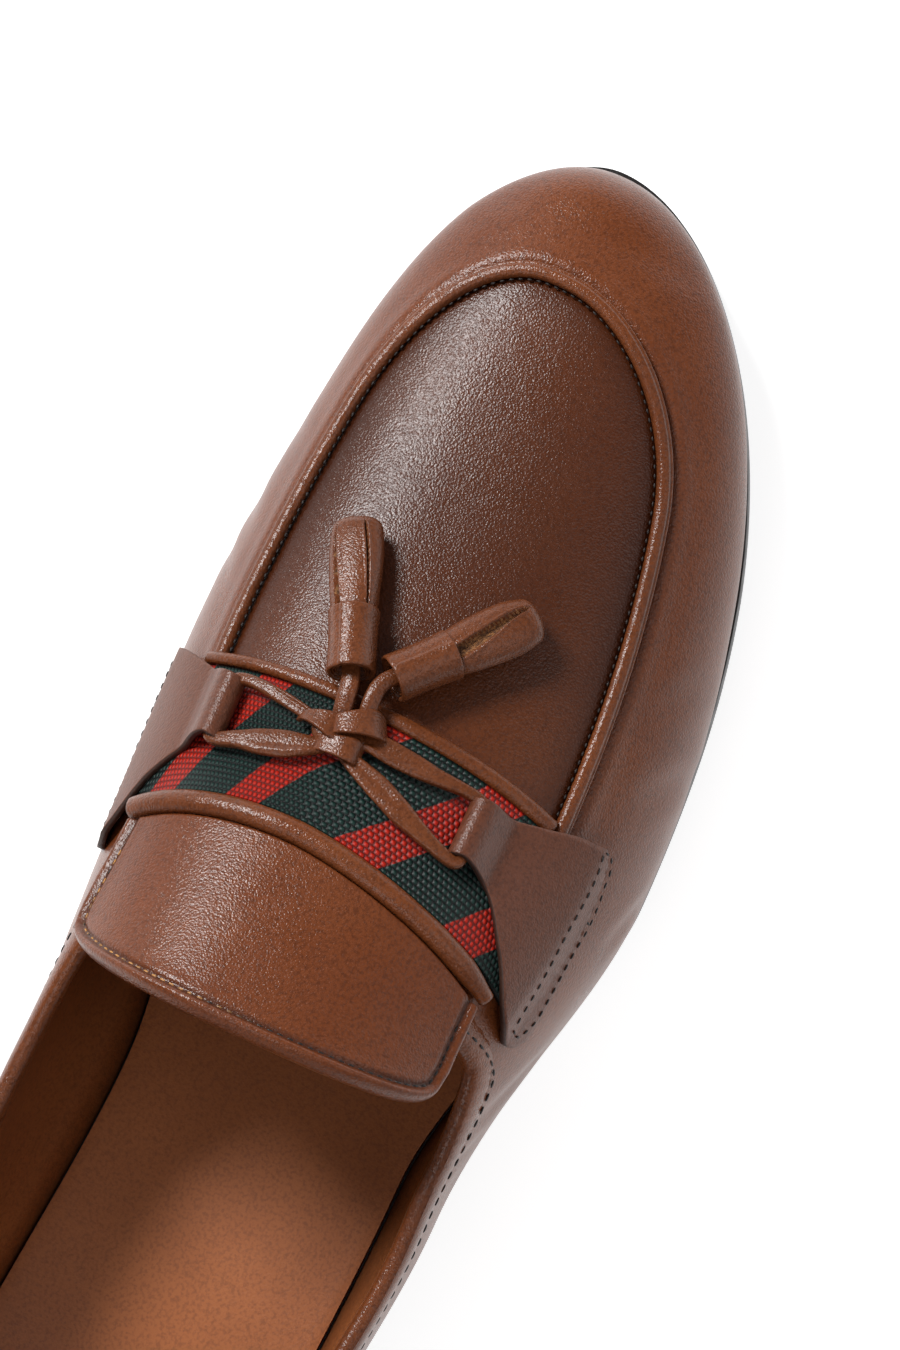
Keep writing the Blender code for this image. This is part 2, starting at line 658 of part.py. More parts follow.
def strip_along(name, points, normals, widths, thicks, colour, collection=None):
    """A flat strip with rounded edges along a run of points, flat side to the normals."""
    runs = np.gradient(points, axis=0)
    runs /= np.linalg.norm(runs, axis=1)[:, None]
    sideways = np.cross(runs, normals)
    sideways /= np.linalg.norm(sideways, axis=1)[:, None]
    upright = np.cross(sideways, runs)
    count = len(points)

    def place(u, v):
        i = np.clip(np.rint(u * (count - 1)).astype(int), 0, count - 1)
        turn = v * 2 * pi
        wide = np.sign(np.cos(turn)) * np.abs(np.cos(turn)) ** LACE_SQUARE * widths[i] / 2
        thick = np.sign(np.sin(turn)) * np.abs(np.sin(turn)) ** LACE_SQUARE * thicks[i] / 2
        return points[i] + wide[:, None] * sideways[i] + thick[:, None] * upright[i]
    bm = laid_grid(count - 1, 8, place)
    close_up(bm)
    return add_mesh(name, bm, colour=colour, collection=collection)


def make_loop(name, side):
    """One loop of the thong: knot, through the tab's tunnel and back to the knot."""
    at, down = (np.array(LOOPS[side])[:, LOOP_COLUMNS.index(name)] for name in LOOP_COLUMNS)
    near_bore = ease((down - BORE_FROM) / BORE_RUN)
    lifts = LACE_LIFT + (BORE_LIFT - LACE_LIFT) * near_bore
    points = rounded(skin(at * LENGTH, side * down, lifts), LOOP_POINTS)
    share = rounded(np.stack([at, down, near_bore], -1), LOOP_POINTS)
    normals = skin(share[:, 0] * LENGTH, side * share[:, 1], GAP)
    normals -= skin(share[:, 0] * LENGTH, side * share[:, 1])
    steps = np.linspace(0, 1, LOOP_POINTS)
    inside = np.clip(smooth(steps, np.linspace(0, 1, len(at)), near_bore), 0, 1)
    widths = LACE_WIDTH + (LACE_ROUND - LACE_WIDTH) * inside
    thicks = LACE + (LACE_ROUND - LACE) * inside
    strip_along(name, points, normals, widths, thicks, DARK_BROWN)


def make_knot():
    """The knot: a rounded lump with the thong's wrap standing out round its middle."""
    x, q = KNOT_AT[0] * LENGTH, KNOT_AT[1]
    up = skin_axes(x, q)[0]
    forward = np.cross(np.array([0, 1.0, 0]), up)
    across = np.cross(up, forward)
    centre = skin(x, q, KNOT_LIFT)

    def place(u, v):
        turn, tip = v * 2 * pi, (u - 0.5) * pi
        wrap = 1 + WRAP_RISE / KNOT_SIZE[1] * (np.abs(tip) < WRAP_HALF)
        a = KNOT_SIZE[0] * np.sin(tip)
        b = KNOT_SIZE[1] * np.cos(tip) ** KNOT_ROUND * np.cos(turn) * wrap
        c = KNOT_SIZE[2] * np.cos(tip) ** KNOT_ROUND * np.sin(turn) * wrap
        return centre + a[:, None] * forward + b[:, None] * across + c[:, None] * up
    bm = laid_grid(12, 14, place)
    close_up(bm)
    add_mesh("thong_knot", bm, colour=DARK_BROWN)


def make_tassel(name):
    """A tassel: a wrapped head and a core, with the skirt's strips fused on."""
    (x0, q0, lift0), (x1, q1, lift1) = TASSELS[name]
    base, tip = skin(x0 * LENGTH, q0, lift0), skin(x1 * LENGTH, q1, lift1)
    axis = tip - base
    reach = np.linalg.norm(axis)
    axis /= reach
    across = np.cross(axis, [0, 0, 1.0])
    across /= np.linalg.norm(across)
    up = np.cross(across, axis)
    body = [(HEAD_LENGTH * a, HEAD * r) for a, r in HEAD_PROFILE]
    body += [(HEAD_LENGTH, CORE), (reach * CORE_END, CORE * CORE_TAPER), (reach * CORE_END, 0)]
    body = np.array(body)

    def place(u, v):
        i = np.rint(u * (len(body) - 1)).astype(int)
        turn = v * 2 * pi
        ring = np.cos(turn)[:, None] * across + np.sin(turn)[:, None] * up
        return base + body[i, :1] * axis + body[i, 1:] * ring
    bm = laid_grid(len(body) - 1, 16, place)
    close_up(bm)
    tassel = add_mesh(name, bm, colour=BROWN)

    shares = np.linspace(0, 1, STRIP_POINTS)
    root = HEAD_LENGTH - STRIP_ROOT
    for k in range(STRIPS):
        turn = 2 * pi * (k + 0.5) / STRIPS
        ring = np.cos(turn) * across + np.sin(turn) * up
        out = CORE + STRIP * STRIP_SEAT + BULGE * np.sin(shares * BULGE_TURN)
        run = root + shares * (reach - root) * (1 - STAGGER + STAGGER * (k % 2))
        points = base + run[:, None] * axis + out[:, None] * ring
        wide = STRIP_WIDTH * (STRIP_FLARE[0] + STRIP_FLARE[1] * shares)
        thick = STRIP * np.where(shares < 1, 1.0, STRIP_TIP)
        strip = strip_along(name + "_strip", points, np.tile(ring, (STRIP_POINTS, 1)), wide, thick,
                            None, collection=cutters)
        strip.hide_render = True
        strip.display_type = "WIRE"
        union = tassel.modifiers.new("strip", "BOOLEAN")
        union.operation = "UNION"
        union.object = strip

    start_x, start_q = STEM_STARTS[name]
    start = skin(start_x * LENGTH, start_q, KNOT_LIFT)
    stop = base - axis * GAP
    near = stop - axis * STEM
    bend = (start + near) / 2
    tube(name.replace("tassel", "stem"), rounded([start, bend, near, stop], 7), STEM,
         DARK_BROWN)


for old in list(bpy.data.objects):
    bpy.data.objects.remove(old)
parts = make_collection("tassel_loafer")
cutters = make_collection("cutters")
make_outsole()
make_heel()
make_insole()
make_upper()
make_piping()
make_band()
make_bindings()
make_tongue()
make_tab("tab_medial", MEDIAL)
make_tab("tab_lateral", LATERAL)
make_loop("thong_medial", MEDIAL)
make_loop("thong_lateral", LATERAL)
make_knot()
for tassel_name in TASSELS:
    make_tassel(tassel_name)
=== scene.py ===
"""The looks of a brown tassel loafer for the right foot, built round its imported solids.

The last's surface functions are the model's own, so that every piece lies where its solid does.
In the shoe's own measure x runs from the sole's heel end to its toe, +Y is the medial side and
z = 0 is the floor. Meshes are laid in that measure and moved so that the origin is under the
shoe's middle.
"""

import json
from math import cos, pi, radians, sin

import bmesh
import bpy
import numpy as np
from mathutils import Matrix, Vector
from mathutils.kdtree import KDTree

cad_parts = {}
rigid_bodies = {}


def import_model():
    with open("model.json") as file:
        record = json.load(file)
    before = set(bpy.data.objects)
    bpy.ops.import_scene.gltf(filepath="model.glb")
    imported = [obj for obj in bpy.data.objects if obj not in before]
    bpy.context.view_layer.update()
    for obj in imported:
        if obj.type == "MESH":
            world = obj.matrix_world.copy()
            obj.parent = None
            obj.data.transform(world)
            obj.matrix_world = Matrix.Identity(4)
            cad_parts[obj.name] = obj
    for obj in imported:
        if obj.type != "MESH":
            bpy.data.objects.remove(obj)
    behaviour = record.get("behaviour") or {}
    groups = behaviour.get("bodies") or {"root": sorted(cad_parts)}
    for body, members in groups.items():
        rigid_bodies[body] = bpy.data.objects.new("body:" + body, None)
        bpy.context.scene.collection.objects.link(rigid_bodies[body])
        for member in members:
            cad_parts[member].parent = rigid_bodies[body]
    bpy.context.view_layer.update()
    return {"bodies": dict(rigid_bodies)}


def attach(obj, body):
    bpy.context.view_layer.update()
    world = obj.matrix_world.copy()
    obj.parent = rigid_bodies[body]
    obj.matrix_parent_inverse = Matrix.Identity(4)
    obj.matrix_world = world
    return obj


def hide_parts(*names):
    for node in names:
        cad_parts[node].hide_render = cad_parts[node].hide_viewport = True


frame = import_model()
BODY = sorted(frame["bodies"])[0]

MEDIAL, LATERAL = 1, -1
SIDES = (MEDIAL, LATERAL)

# Sizes of the shoe in metres
LENGTH = 0.300
BALL_WIDTH = 0.0956
WAIST_WIDTH = 0.0796
HEEL_WIDTH = 0.0710
INSTEP = 0.0930
COLLAR = 0.0810
HEEL_SEAT = 0.0220
SOLE = 0.0045
TOE_SPRING = 0.0090
WALL = 0.0018
INSOLE = 0.0022
GAP = 0.0003
MERGE = 0.00001

# Stations as shares of the length
HEEL_X = 0.1233 * LENGTH
SEAT_X = 0.1933 * LENGTH
BREAST_X = 0.2500 * LENGTH
WAIST_X = 0.3733 * LENGTH
OPEN_X = 0.4667 * LENGTH
THROAT_X = 0.5033 * LENGTH
TREAD_X = 0.6200 * LENGTH
SPRING_X = 0.7200 * LENGTH
NOSE_X = 0.8867 * LENGTH
BALL_X = {MEDIAL: 0.650 * LENGTH, LATERAL: 0.590 * LENGTH}

# Each side's share of a width, and how far the feather line lies inside the girth
BALL_SHARE = {MEDIAL: 0.441, LATERAL: 0.559}
WAIST_SHARE = {MEDIAL: 0.455, LATERAL: 0.545}
HEEL_SHARE = {MEDIAL: 0.5, LATERAL: 0.5}
TUCK = {MEDIAL: (0.0045, 0.0105, 0.0022), LATERAL: (0.0045, 0.0090, 0.0028)}
NO_TUCK = (0.0, 0.0, 0.0)

# How far the sole stands out beyond the feather line, at heel, side and toe
HEEL_EDGE = 0.0006
SIDE_EDGE = 0.0020
TOE_EDGE = 0.0032
BACK_X = HEEL_EDGE
TOE_X = LENGTH - TOE_EDGE

# Exponents of the rounded ends
HEEL_ROUND = 2.15
TOE_ROUND = {MEDIAL: (2.0, 1.9), LATERAL: (2.1, 1.93)}
NOSE_ROUND = (2.6, 2.3)

# The last from heel to toe: station as a share of the length, top line and girth line as shares
# of the instep, sideways place of the top line and the middle as shares of the ball's width, and
# the squareness of the section on each side
LAST_COLUMNS = ("at", "top", "girth", "top_y", "middle", "square_in", "square_out")
LAST = [
    (0.000, 1.376, 0.258, -0.026, -0.026, 2.00, 2.00),
    (0.123, 1.355, 0.243, -0.026, -0.026, 2.00, 2.00),
    (0.233, 1.258, 0.240, -0.026, -0.024, 2.00, 2.50),
    (0.333, 1.108, 0.254, -0.023, -0.019, 2.00, 2.90),
    (0.400, 1.000, 0.254, -0.018, -0.014, 2.00, 2.90),
    (0.487, 0.849, 0.210, -0.002, -0.001, 2.05, 2.40),
    (0.583, 0.699, 0.159, 0.019, 0.000, 2.13, 2.15),
    (0.683, 0.565, 0.132, 0.043, 0.001, 2.23, 2.23),
    (0.783, 0.468, 0.118, 0.051, 0.009, 2.28, 2.28),
    (0.873, 0.409, 0.108, 0.048, 0.027, 2.29, 2.29),
    (0.953, 0.371, 0.101, 0.052, 0.048, 2.15, 2.15),
    (1.000, 0.355, 0.097, 0.058, 0.058, 2.10, 2.10),
]
GIRTH_CAP = 0.42
GIRTH_W = 0.25

# The topline's height as a share of the collar's, at shares of the length
TOPLINE_COLUMNS = ("at", "inner", "outer")
TOPLINE = [
    (0.000, 1.000, 1.000),
    (0.050, 0.963, 0.963),
    (0.123, 0.864, 0.852),
    (0.267, 0.765, 0.728),
    (0.367, 0.765, 0.691),
    (0.460, 0.815, 0.716),
    (0.503, 0.852, 0.765),
]

# The share of the upper's stations at the end of the heel's fan and at the throat
HEEL_U = 0.16
THROAT_U = 0.55

# Apron seam: its side lines as shares of the way from the top line to the feather line
APRON_REAR_X = {MEDIAL: 0.632 * LENGTH, LATERAL: 0.624 * LENGTH}
APRON_BEND_X = 0.803 * LENGTH
APRON_TIP_X = 0.919 * LENGTH
APRON_Q = {MEDIAL: (0.345, 0.372), LATERAL: (0.380, 0.365)}
APRON_ROUND = (2.3, 2.1)

# Instep saddle: a band of webbing between a thin front binding and a thick rear one
BAND = 0.0012
BAND_FRONT_X = 0.6370 * LENGTH
BAND_REAR_X = 0.5613 * LENGTH
FRONT_BOW = {MEDIAL: 0.090 * LENGTH, LATERAL: 0.163 * LENGTH}
REAR_BOW = {MEDIAL: 0.177 * LENGTH, LATERAL: 0.166 * LENGTH}
REAR_POWER = {MEDIAL: 2.0, LATERAL: 1.5}
BAND_Q = {MEDIAL: 0.47, LATERAL: 0.45}
FRONT_ROLL_Q = {MEDIAL: 0.36, LATERAL: 0.345}
REAR_ROLL_Q = {MEDIAL: 0.385, LATERAL: 0.375}
FRONT_ROLL = 0.0011
REAR_ROLL = 0.0020

# Tongue
TONGUE = 0.0025
TONGUE_X = 0.4400 * LENGTH
TONGUE_CORNER = 0.0070
TONGUE_Q = {MEDIAL: (0.390, 0.425), LATERAL: (0.400, 0.425)}

# Saddle tabs: how they step up onto the band, and rows from the tunnel out to the sewn end, at
# shares of the tab's reach, with the rear and front edges as shares of the length
TAB = 0.0012
STEP_OUT, STEP_RUN = 0.07, 0.06
TUNNEL = 0.0019
TUNNEL_RISE = 0.0070
TAB_COLUMNS = ("reach", "rear", "front")
TAB_ROWS = {
    MEDIAL: [(0.00, 0.581, 0.6187), (0.15, 0.573, 0.6187), (0.40, 0.548, 0.6210),
             (0.70, 0.505, 0.6230), (0.90, 0.494, 0.6220), (1.00, 0.502, 0.6130)],
    LATERAL: [(0.00, 0.576, 0.6110), (0.15, 0.570, 0.6100), (0.40, 0.538, 0.6130),
              (0.70, 0.500, 0.6170), (0.90, 0.490, 0.6170), (1.00, 0.497, 0.6080)],
}
TUNNEL_Q = {MEDIAL: 0.235, LATERAL: 0.228}
TAB_Q = {MEDIAL: (0.600, 0.530), LATERAL: (0.580, 0.500)}

# Thong: its thickness flat and in the tunnels, its height above the last there, and the knot's place
LACE = 0.0013
LACE_ROUND = 0.0020
LACE_LIFT = 0.0040
BORE_LIFT = BAND + 2 * GAP + TUNNEL + TAB / 2
KNOT_AT = (0.6080, 0.002)
KNOT_LIFT = 0.0046

# Tassels: where the head's base and the skirt's tip lie (station, share, height above the last)
TASSELS = {
    "tassel_front": ((0.6450, 0.012, 0.0062), (0.7333, 0.130, 0.0052)),
    "tassel_lateral": ((0.6520, -0.036, 0.0062), (0.7230, -0.188, 0.0052)),
}


def smooth(x, xs, ys):
    """A monotone cubic through a table's points."""
    xs, ys = np.asarray(xs, float), np.asarray(ys, float)
    x = np.clip(x, xs[0], xs[-1])
    step = np.diff(xs)
    rise = np.diff(ys) / step
    slope = np.concatenate([rise[:1], np.zeros(len(xs) - 2), rise[-1:]])
    near, far = 2 * step[1:] + step[:-1], step[1:] + 2 * step[:-1]
    same = rise[:-1] * rise[1:] > 0
    before, after = np.where(same, rise[:-1], 1), np.where(same, rise[1:], 1)
    slope[1:-1] = np.where(same, (near + far) / (near / before + far / after), 0)
    i = np.clip(np.searchsorted(xs, x) - 1, 0, len(xs) - 2)
    h, t = step[i], (x - xs[i]) / step[i]
    return (ys[i] * (1 + 2 * t) * (1 - t) ** 2 + slope[i] * h * t * (1 - t) ** 2
            + ys[i + 1] * t * t * (3 - 2 * t) + slope[i + 1] * h * t * t * (t - 1))


def look_up(rows, columns, name, x, unit=LENGTH):
    """A named column of a table at the station x."""
    table = np.array(rows)
    return smooth(np.asarray(x, float) / unit, table[:, 0], table[:, columns.index(name)])


def ease(t):
    t = np.clip(t, 0, 1)
    return t * t * (3 - 2 * t)


def last(name, x):
    return look_up(LAST, LAST_COLUMNS, name, x)


def middle(x):
    return last("middle", x) * BALL_WIDTH


def seat_height(x):
    """Height of the sole's upper face, which the upper stands on."""
    x = np.asarray(x, float)
    arch = (HEEL_SEAT - SOLE) * (1 - ease((x - SEAT_X) / (TREAD_X - SEAT_X)))
    toe = np.clip((x - SPRING_X) / (LENGTH - SPRING_X), 0, None)
    return SOLE + arch + TOE_SPRING * toe ** 1.8


def half_width(x, side, tuck=NO_TUCK, grow=NO_TUCK):
    """Half width of the last on one side: its girth, less a tuck, grown at heel, side and toe."""
    x = np.asarray(x, float)
    full = (HEEL_WIDTH * HEEL_SHARE[side], WAIST_WIDTH * WAIST_SHARE[side],
            BALL_WIDTH * BALL_SHARE[side])
    extra = (grow[0], grow[1], grow[1])
    heel, waist, ball = (full[i] - tuck[i] + extra[i] for i in range(3))
    back, tip = BACK_X - grow[0], TOE_X + grow[2]
    side_line = np.where(x < WAIST_X,
                         heel + (waist - heel) * ease((x - HEEL_X) / (WAIST_X - HEEL_X)),
                         waist + (ball - waist) * ease((x - WAIST_X) / (BALL_X[side] - WAIST_X)))
    t = np.clip((x - BALL_X[side]) / (tip - BALL_X[side]), 0, 1)
    p, q = TOE_ROUND[side]
    toe_line = (side_line + (grow[2] - grow[1]) * ease(t)) * (1 - t ** p) ** (1 / q)
    s = np.clip((HEEL_X - x) / (HEEL_X - back), 0, 1)
    return toe_line * (1 - s ** HEEL_ROUND) ** (1 / HEEL_ROUND)


def nose(x):
    p, q = NOSE_ROUND
    t = np.clip((np.asarray(x, float) - NOSE_X) / (TOE_X - NOSE_X), 0, 1)
    return (1 - t ** p) ** (1 / q)


def heights(x):
    """Heights of feather line, girth line and top line."""
    feather = seat_height(x) + GAP
    top = feather + (last("top", x) * INSTEP - feather) * nose(x)
    girth = feather + np.minimum(last("girth", x) * INSTEP, GIRTH_CAP * (top - feather))
    return feather, girth, top


def section(x, side, w):
    """A point of the last's section at x, from the feather line (w 0) to the top line (w 1)."""
    x, w = np.broadcast_arrays(np.asarray(x, float), np.asarray(w, float))
    feather, girth, top = heights(x)
    mid = middle(x)
    wide = np.maximum(half_width(np.maximum(x, HEEL_X), side), 0)
    low = np.maximum(half_width(np.maximum(x, HEEL_X), side, TUCK[side]), 0)
    top_y = mid + (last("top_y", x) * BALL_WIDTH - mid) * nose(x)
    e = 2 / last("square_in" if side == MEDIAL else "square_out", x)
    t = np.clip(w / GIRTH_W, 0, 1)
    a = np.clip((w - GIRTH_W) / (1 - GIRTH_W), 0, 1) * pi / 2
    under = w < GIRTH_W
    y = np.where(under, mid + side * (low + (wide - low) * (1 - (1 - t) ** 2)),
                 top_y + (mid + side * wide - top_y) * np.cos(a) ** e)
    z = np.where(under, feather + (girth - feather) * t, girth + (top - girth) * np.sin(a) ** e)
    return y, z


def station(u):
    """Station of the share u: the heel's stations fan out from HEEL_X, the toe's crowd together."""
    u = np.asarray(u, float)
    quarter = (THROAT_X - HEEL_X) * np.clip((u - HEEL_U) / (THROAT_U - HEEL_U), 0, 1)
    vamp = (TOE_X - THROAT_X) * np.sin(np.clip((u - THROAT_U) / (1 - THROAT_U), 0, 1) * pi / 2)
    return HEEL_X + quarter + vamp


def last_point(u, side, w):
    """A point of the upper's outer face; u runs from the heel's back (0) to the toe's tip (1)."""
    u, w = np.broadcast_arrays(np.asarray(u, float), np.asarray(w, float))
    x = station(u)
    y, z = section(x, side, w)
    turn = np.clip(1 - u / HEEL_U, 0, 1) * pi / 2
    heel_mid = middle(HEEL_X)
    reach = np.abs(y - heel_mid)
    low = half_width(HEEL_X, side, TUCK[side])
    back = HEEL_X - reach * (HEEL_X - BACK_X) / low * np.sin(turn) ** (2 / HEEL_ROUND)
    round_y = heel_mid + side * reach * np.cos(turn) ** (2 / HEEL_ROUND)
    fan = u < HEEL_U
    return np.stack([np.where(fan, back, x), np.where(fan, round_y, y), z], -1)


def topline_w(u, side):
    """How far up the section the upper reaches at the share u."""
    feather_x = last_point(u, side, 0.0)[..., 0]
    rim = look_up(TOPLINE, TOPLINE_COLUMNS, "inner" if side == MEDIAL else "outer", feather_x)
    x = station(u)
    feather, girth, top = heights(x)
    e = 2 / last("square_in" if side == MEDIAL else "square_out", x)
    climb = np.clip((rim * COLLAR - girth) / np.maximum(top - girth, GAP), 0, 1)
    w = GIRTH_W + (1 - GIRTH_W) * np.arcsin(climb ** (1 / e)) * 2 / pi
    t = np.clip((x - OPEN_X) / (THROAT_X - OPEN_X), 0, 1)
    return np.where(np.asarray(u) < THROAT_U, w + (1 - w) * (1 - np.sqrt(1 - t * t)), 1.0)


def skin(x, q, lift=0.0):
    """A point above the upper: q is +1 at the medial feather line, 0 on the top line, and lift
    is the height above the upper's outer face."""
    def surface(x, q):
        inner, outer = section(x, MEDIAL, 1 - np.abs(q)), section(x, LATERAL, 1 - np.abs(q))
        y, z = (np.where(q >= 0, inner[i], outer[i]) for i in range(2))
        return np.stack([x + 0 * q, y, z], -1)
    x, q, lift = np.broadcast_arrays(*(np.asarray(v, float) for v in (x, q, lift)))
    small = 0.002
    along = surface(x + small * LENGTH, q) - surface(x - small * LENGTH, q)
    across = surface(x, q + small) - surface(x, q - small)
    normal = np.cross(along, across)
    normal /= np.linalg.norm(normal, axis=-1)[..., None]
    return surface(x, q) + normal * lift[..., None]


def shoe_middle():
    """The middle of the shoe's footprint, which the origin stands under."""
    u = np.linspace(0, 1, 400)
    widest = np.concatenate([last_point(u, side, GIRTH_W) for side in SIDES])
    x0, x1 = widest[:, 0].min(), LENGTH
    return np.array([(x0 + x1) / 2, (widest[:, 1].max() + widest[:, 1].min()) / 2, 0.0])


ORIGIN = shoe_middle()


def round_heel(back, count=40):
    """Stations of a round heel end, close together at the back."""
    return back + (HEEL_X - back) * (1 - np.cos(np.linspace(0, pi / 2, count)))


def sole_line(grow):
    """Outline of a sole piece: the feather line grown at heel, side and toe."""
    def outline(x, side):
        return middle(np.clip(x, 0, LENGTH)) + side * half_width(x, side, TUCK[side], grow)
    return outline


def rounded(points, count):
    """Points read evenly from a smooth curve through the given ones."""
    points = np.asarray(points, float)
    reach = np.concatenate([[0], np.cumsum(np.linalg.norm(np.diff(points, axis=0), axis=1))])
    at = np.linspace(0, reach[-1], count)
    i = np.clip(np.searchsorted(reach, at) - 1, 0, len(points) - 2)
    t = ((at - reach[i]) / (reach[i + 1] - reach[i]))[:, None]
    ends = np.concatenate([[2 * points[0] - points[1]], points, [2 * points[-1] - points[-2]]])
    a, b, c, d = ends[i], ends[i + 1], ends[i + 2], ends[i + 3]
    return 0.5 * (2 * b + (c - a) * t + (2 * a - 5 * b + 4 * c - d) * t ** 2
                  + (3 * b - a - 3 * c + d) * t ** 3)


def front_line(q):
    bow = np.where(q > 0, FRONT_BOW[MEDIAL], FRONT_BOW[LATERAL])
    return BAND_FRONT_X - bow * q ** 2


def rear_line(q):
    inner = REAR_BOW[MEDIAL] * np.abs(q) ** REAR_POWER[MEDIAL]
    outer = REAR_BOW[LATERAL] * np.abs(q) ** REAR_POWER[LATERAL]
    return BAND_REAR_X - np.where(q > 0, inner, outer)


def beside(line, q, distance):
    """Station of a line that runs at a distance from another one over the instep."""
    step = 0.002
    run = skin(line(q + step), q + step) - skin(line(q - step), q - step)
    lean = run[..., 0] / np.linalg.norm(run, axis=-1)
    return line(q) + distance / np.sqrt(1 - lean ** 2)


def spread(v, reach):
    """A share from the lateral reach (v 0) to the medial reach (v 1)."""
    return -reach[LATERAL] + (reach[LATERAL] + reach[MEDIAL]) * v


def roll_line(q):
    return beside(rear_line, q, -(REAR_ROLL + GAP))


# Camera: the point it aims at, its distance, how far it leans to the lateral side and the toe,
# its roll, and the picture's focal length in pixels of the 900 x 1350 picture
AIM = (0.2022, -0.0060, 0.0300)
CAMERA_AWAY = 0.85
LEAN_LATERAL = radians(9.5)
LEAN_TOE = radians(1.0)
ROLL = radians(24.0512)
FOCAL_PIXELS = 4672.8
PICTURE_HEIGHT = 1350
SENSOR = 24.0

# Leather of the upper: its thickness, the dip of the apron seam, the lip and the fine gathers
# outside it, and the apron's crown inside it
LEATHER = 0.0009
LINING_GAP = 0.00005
SEAM_DIP, SEAM_REACH = 0.0009, 0.0017
LIP, LIP_AT, LIP_WIDE = 0.0004, 0.0034, 0.0022
PUCKER, PUCKER_PITCH, PUCKER_AT, PUCKER_WIDE = 0.00003, 0.0037, 0.0025, 0.0026
PUCKER_FROM, PUCKER_RUN = 0.215, 0.030
APRON_CROWN, CROWN_REACH = 0.0005, 0.012

# How far the upper swells out at its girth, and more towards the toe, all over at the tip
GIRTH_SWELL, SWELL_REACH = 0.0005, 0.22
TOE_SWELL, TOE_SWELL_FROM, TOE_SWELL_RUN = 0.0019, 0.225, 0.060
TOE_TIP, TOE_END = 0.012, 0.001

# The upper's mesh: columns and rows, the share of the columns on the quarter and of the rows below
# the girth, and how closely the rows crowd at the apron seam
UPPER_COLUMNS, UPPER_ROWS = 280, 84
QUARTER_COLUMNS, LOW_ROWS = 0.38, 0.17
SEAM_CROWD, SEAM_ROW = 0.45, 0.52
LINING_CELLS = (110, 26)

# Darker colour: painted shade in the seam's crease, and dye over the apron, at the apron's middle and
# along its edge
SEAM_SHADE, SEAM_SHADE_WIDE = 0.9, 0.0011
APRON_DYE = 0.36
MIDDLE_DYE, MIDDLE_DYE_AT, MIDDLE_DYE_RUN = 0.30, 0.232, 0.035
EDGE_DYE, EDGE_DYE_WIDE = 0.35, 0.006

# Creases: side, where each starts and ends (station as a share of the length, share of
# the way from the top line), how it bows along the shoe, its depth and its width
CREASES = [
    (MEDIAL, 0.690, 0.50, 0.725, 0.86, 0.006, 0.00020, 0.0026),
    (MEDIAL, 0.660, 0.46, 0.690, 0.80, 0.004, 0.00018, 0.0022),
    (MEDIAL, 0.745, 0.48, 0.775, 0.72, 0.003, 0.00010, 0.0024),
    (LATERAL, 0.650, 0.52, 0.672, 0.84, 0.004, 0.00045, 0.0028),
    (LATERAL, 0.700, 0.46, 0.730, 0.72, 0.003, 0.00030, 0.0026),
    (LATERAL, 0.560, 0.64, 0.600, 0.78, 0.002, 0.00035, 0.0022),
    (LATERAL, 0.430, 0.62, 0.500, 0.76, -0.004, 0.00035, 0.0024),
    (LATERAL, 0.395, 0.60, 0.430, 0.74, -0.002, 0.00025, 0.0020),
    (MEDIAL, 0.420, 0.62, 0.480, 0.80, -0.003, 0.00030, 0.0024),
]
# How far from its middle a crease is looked for, and the low ridge on each side of it
CREASE_REACH = 0.045
CREASE_RIDGE, CREASE_RIDGE_AT = 0.45, 1.9

# Apron piping: its size, how far it runs on under the tabs, the groove along it (depth, place and
# width), and how far beside and below its middle the stitches lie
PIPING = (0.0031, 0.0026)
PIPING_SQUARE = 0.9
PIPING_RUN_ON = 0.026
PIPING_LIFT, PIPING_HIGH = 0.0007, 0.002
PIPING_GROOVE = (0.00030, 0.50, 0.16)
PIPING_SEAM = (0.00190, 0.00025)

# Collar: a padded roll over the upper's edge, its puckers (height, number, place, reach), the seams
# under it and along its inner edge, and the steps by which the wall is followed
COLLAR_DOWN = 0.0068
COLLAR_UP = 0.0005
COLLAR_PROUD = 0.0010
COLLAR_SQUARE = 0.80
COLLAR_PUCKER = (0.00012, 900, 0.075, 0.045)
COLLAR_SEAM = 0.0066
COLLAR_SEAM_OUT = 0.0006
EDGE_SEAM, EDGE_PROUD = 0.0016, 0.72
THREAD_LIFT = 0.0002
WALL_STEP = 0.04
THROAT_SHORT = 0.985

# Bindings: sections of the front strip and the rear roll and how they narrow along their run, and
# the webbing's crown
FRONT_SIZE = (0.0032, 0.0021)
FRONT_NARROW, FRONT_RISE = 0.28, 0.15
REAR_SIZE = (0.0044, 0.0040, 0.95)
REAR_NARROW = (0.30, 0.10)
BAND_CROWN = 0.0003

# Tongue: its rounded edge, the roll behind it, the seam inside that and the pad's dip
TONGUE_EDGE = 0.0016
TONGUE_ROLL, TONGUE_ROLL_AT, TONGUE_ROLL_WIDE = 0.0006, 0.0014, 0.0011
TONGUE_SEAM, TONGUE_SEAM_AT, TONGUE_SEAM_WIDE = 0.0007, 0.0028, 0.0006
TONGUE_PAD, TONGUE_PAD_RUN = 0.0002, 0.003
# Painted shade in the seam's groove
TONGUE_SEAM_SHADE = 0.75
TONGUE_SUNK = 0.0006
TONGUE_SQUARE, TONGUE_CROWD = 6, 0.35

# Tabs: the share of a tab at which its fold starts, the fold's turn and a step towards the top line
CURL_FROM, CURL = 0.62, pi * 1.25
INWARD_STEP = 0.01

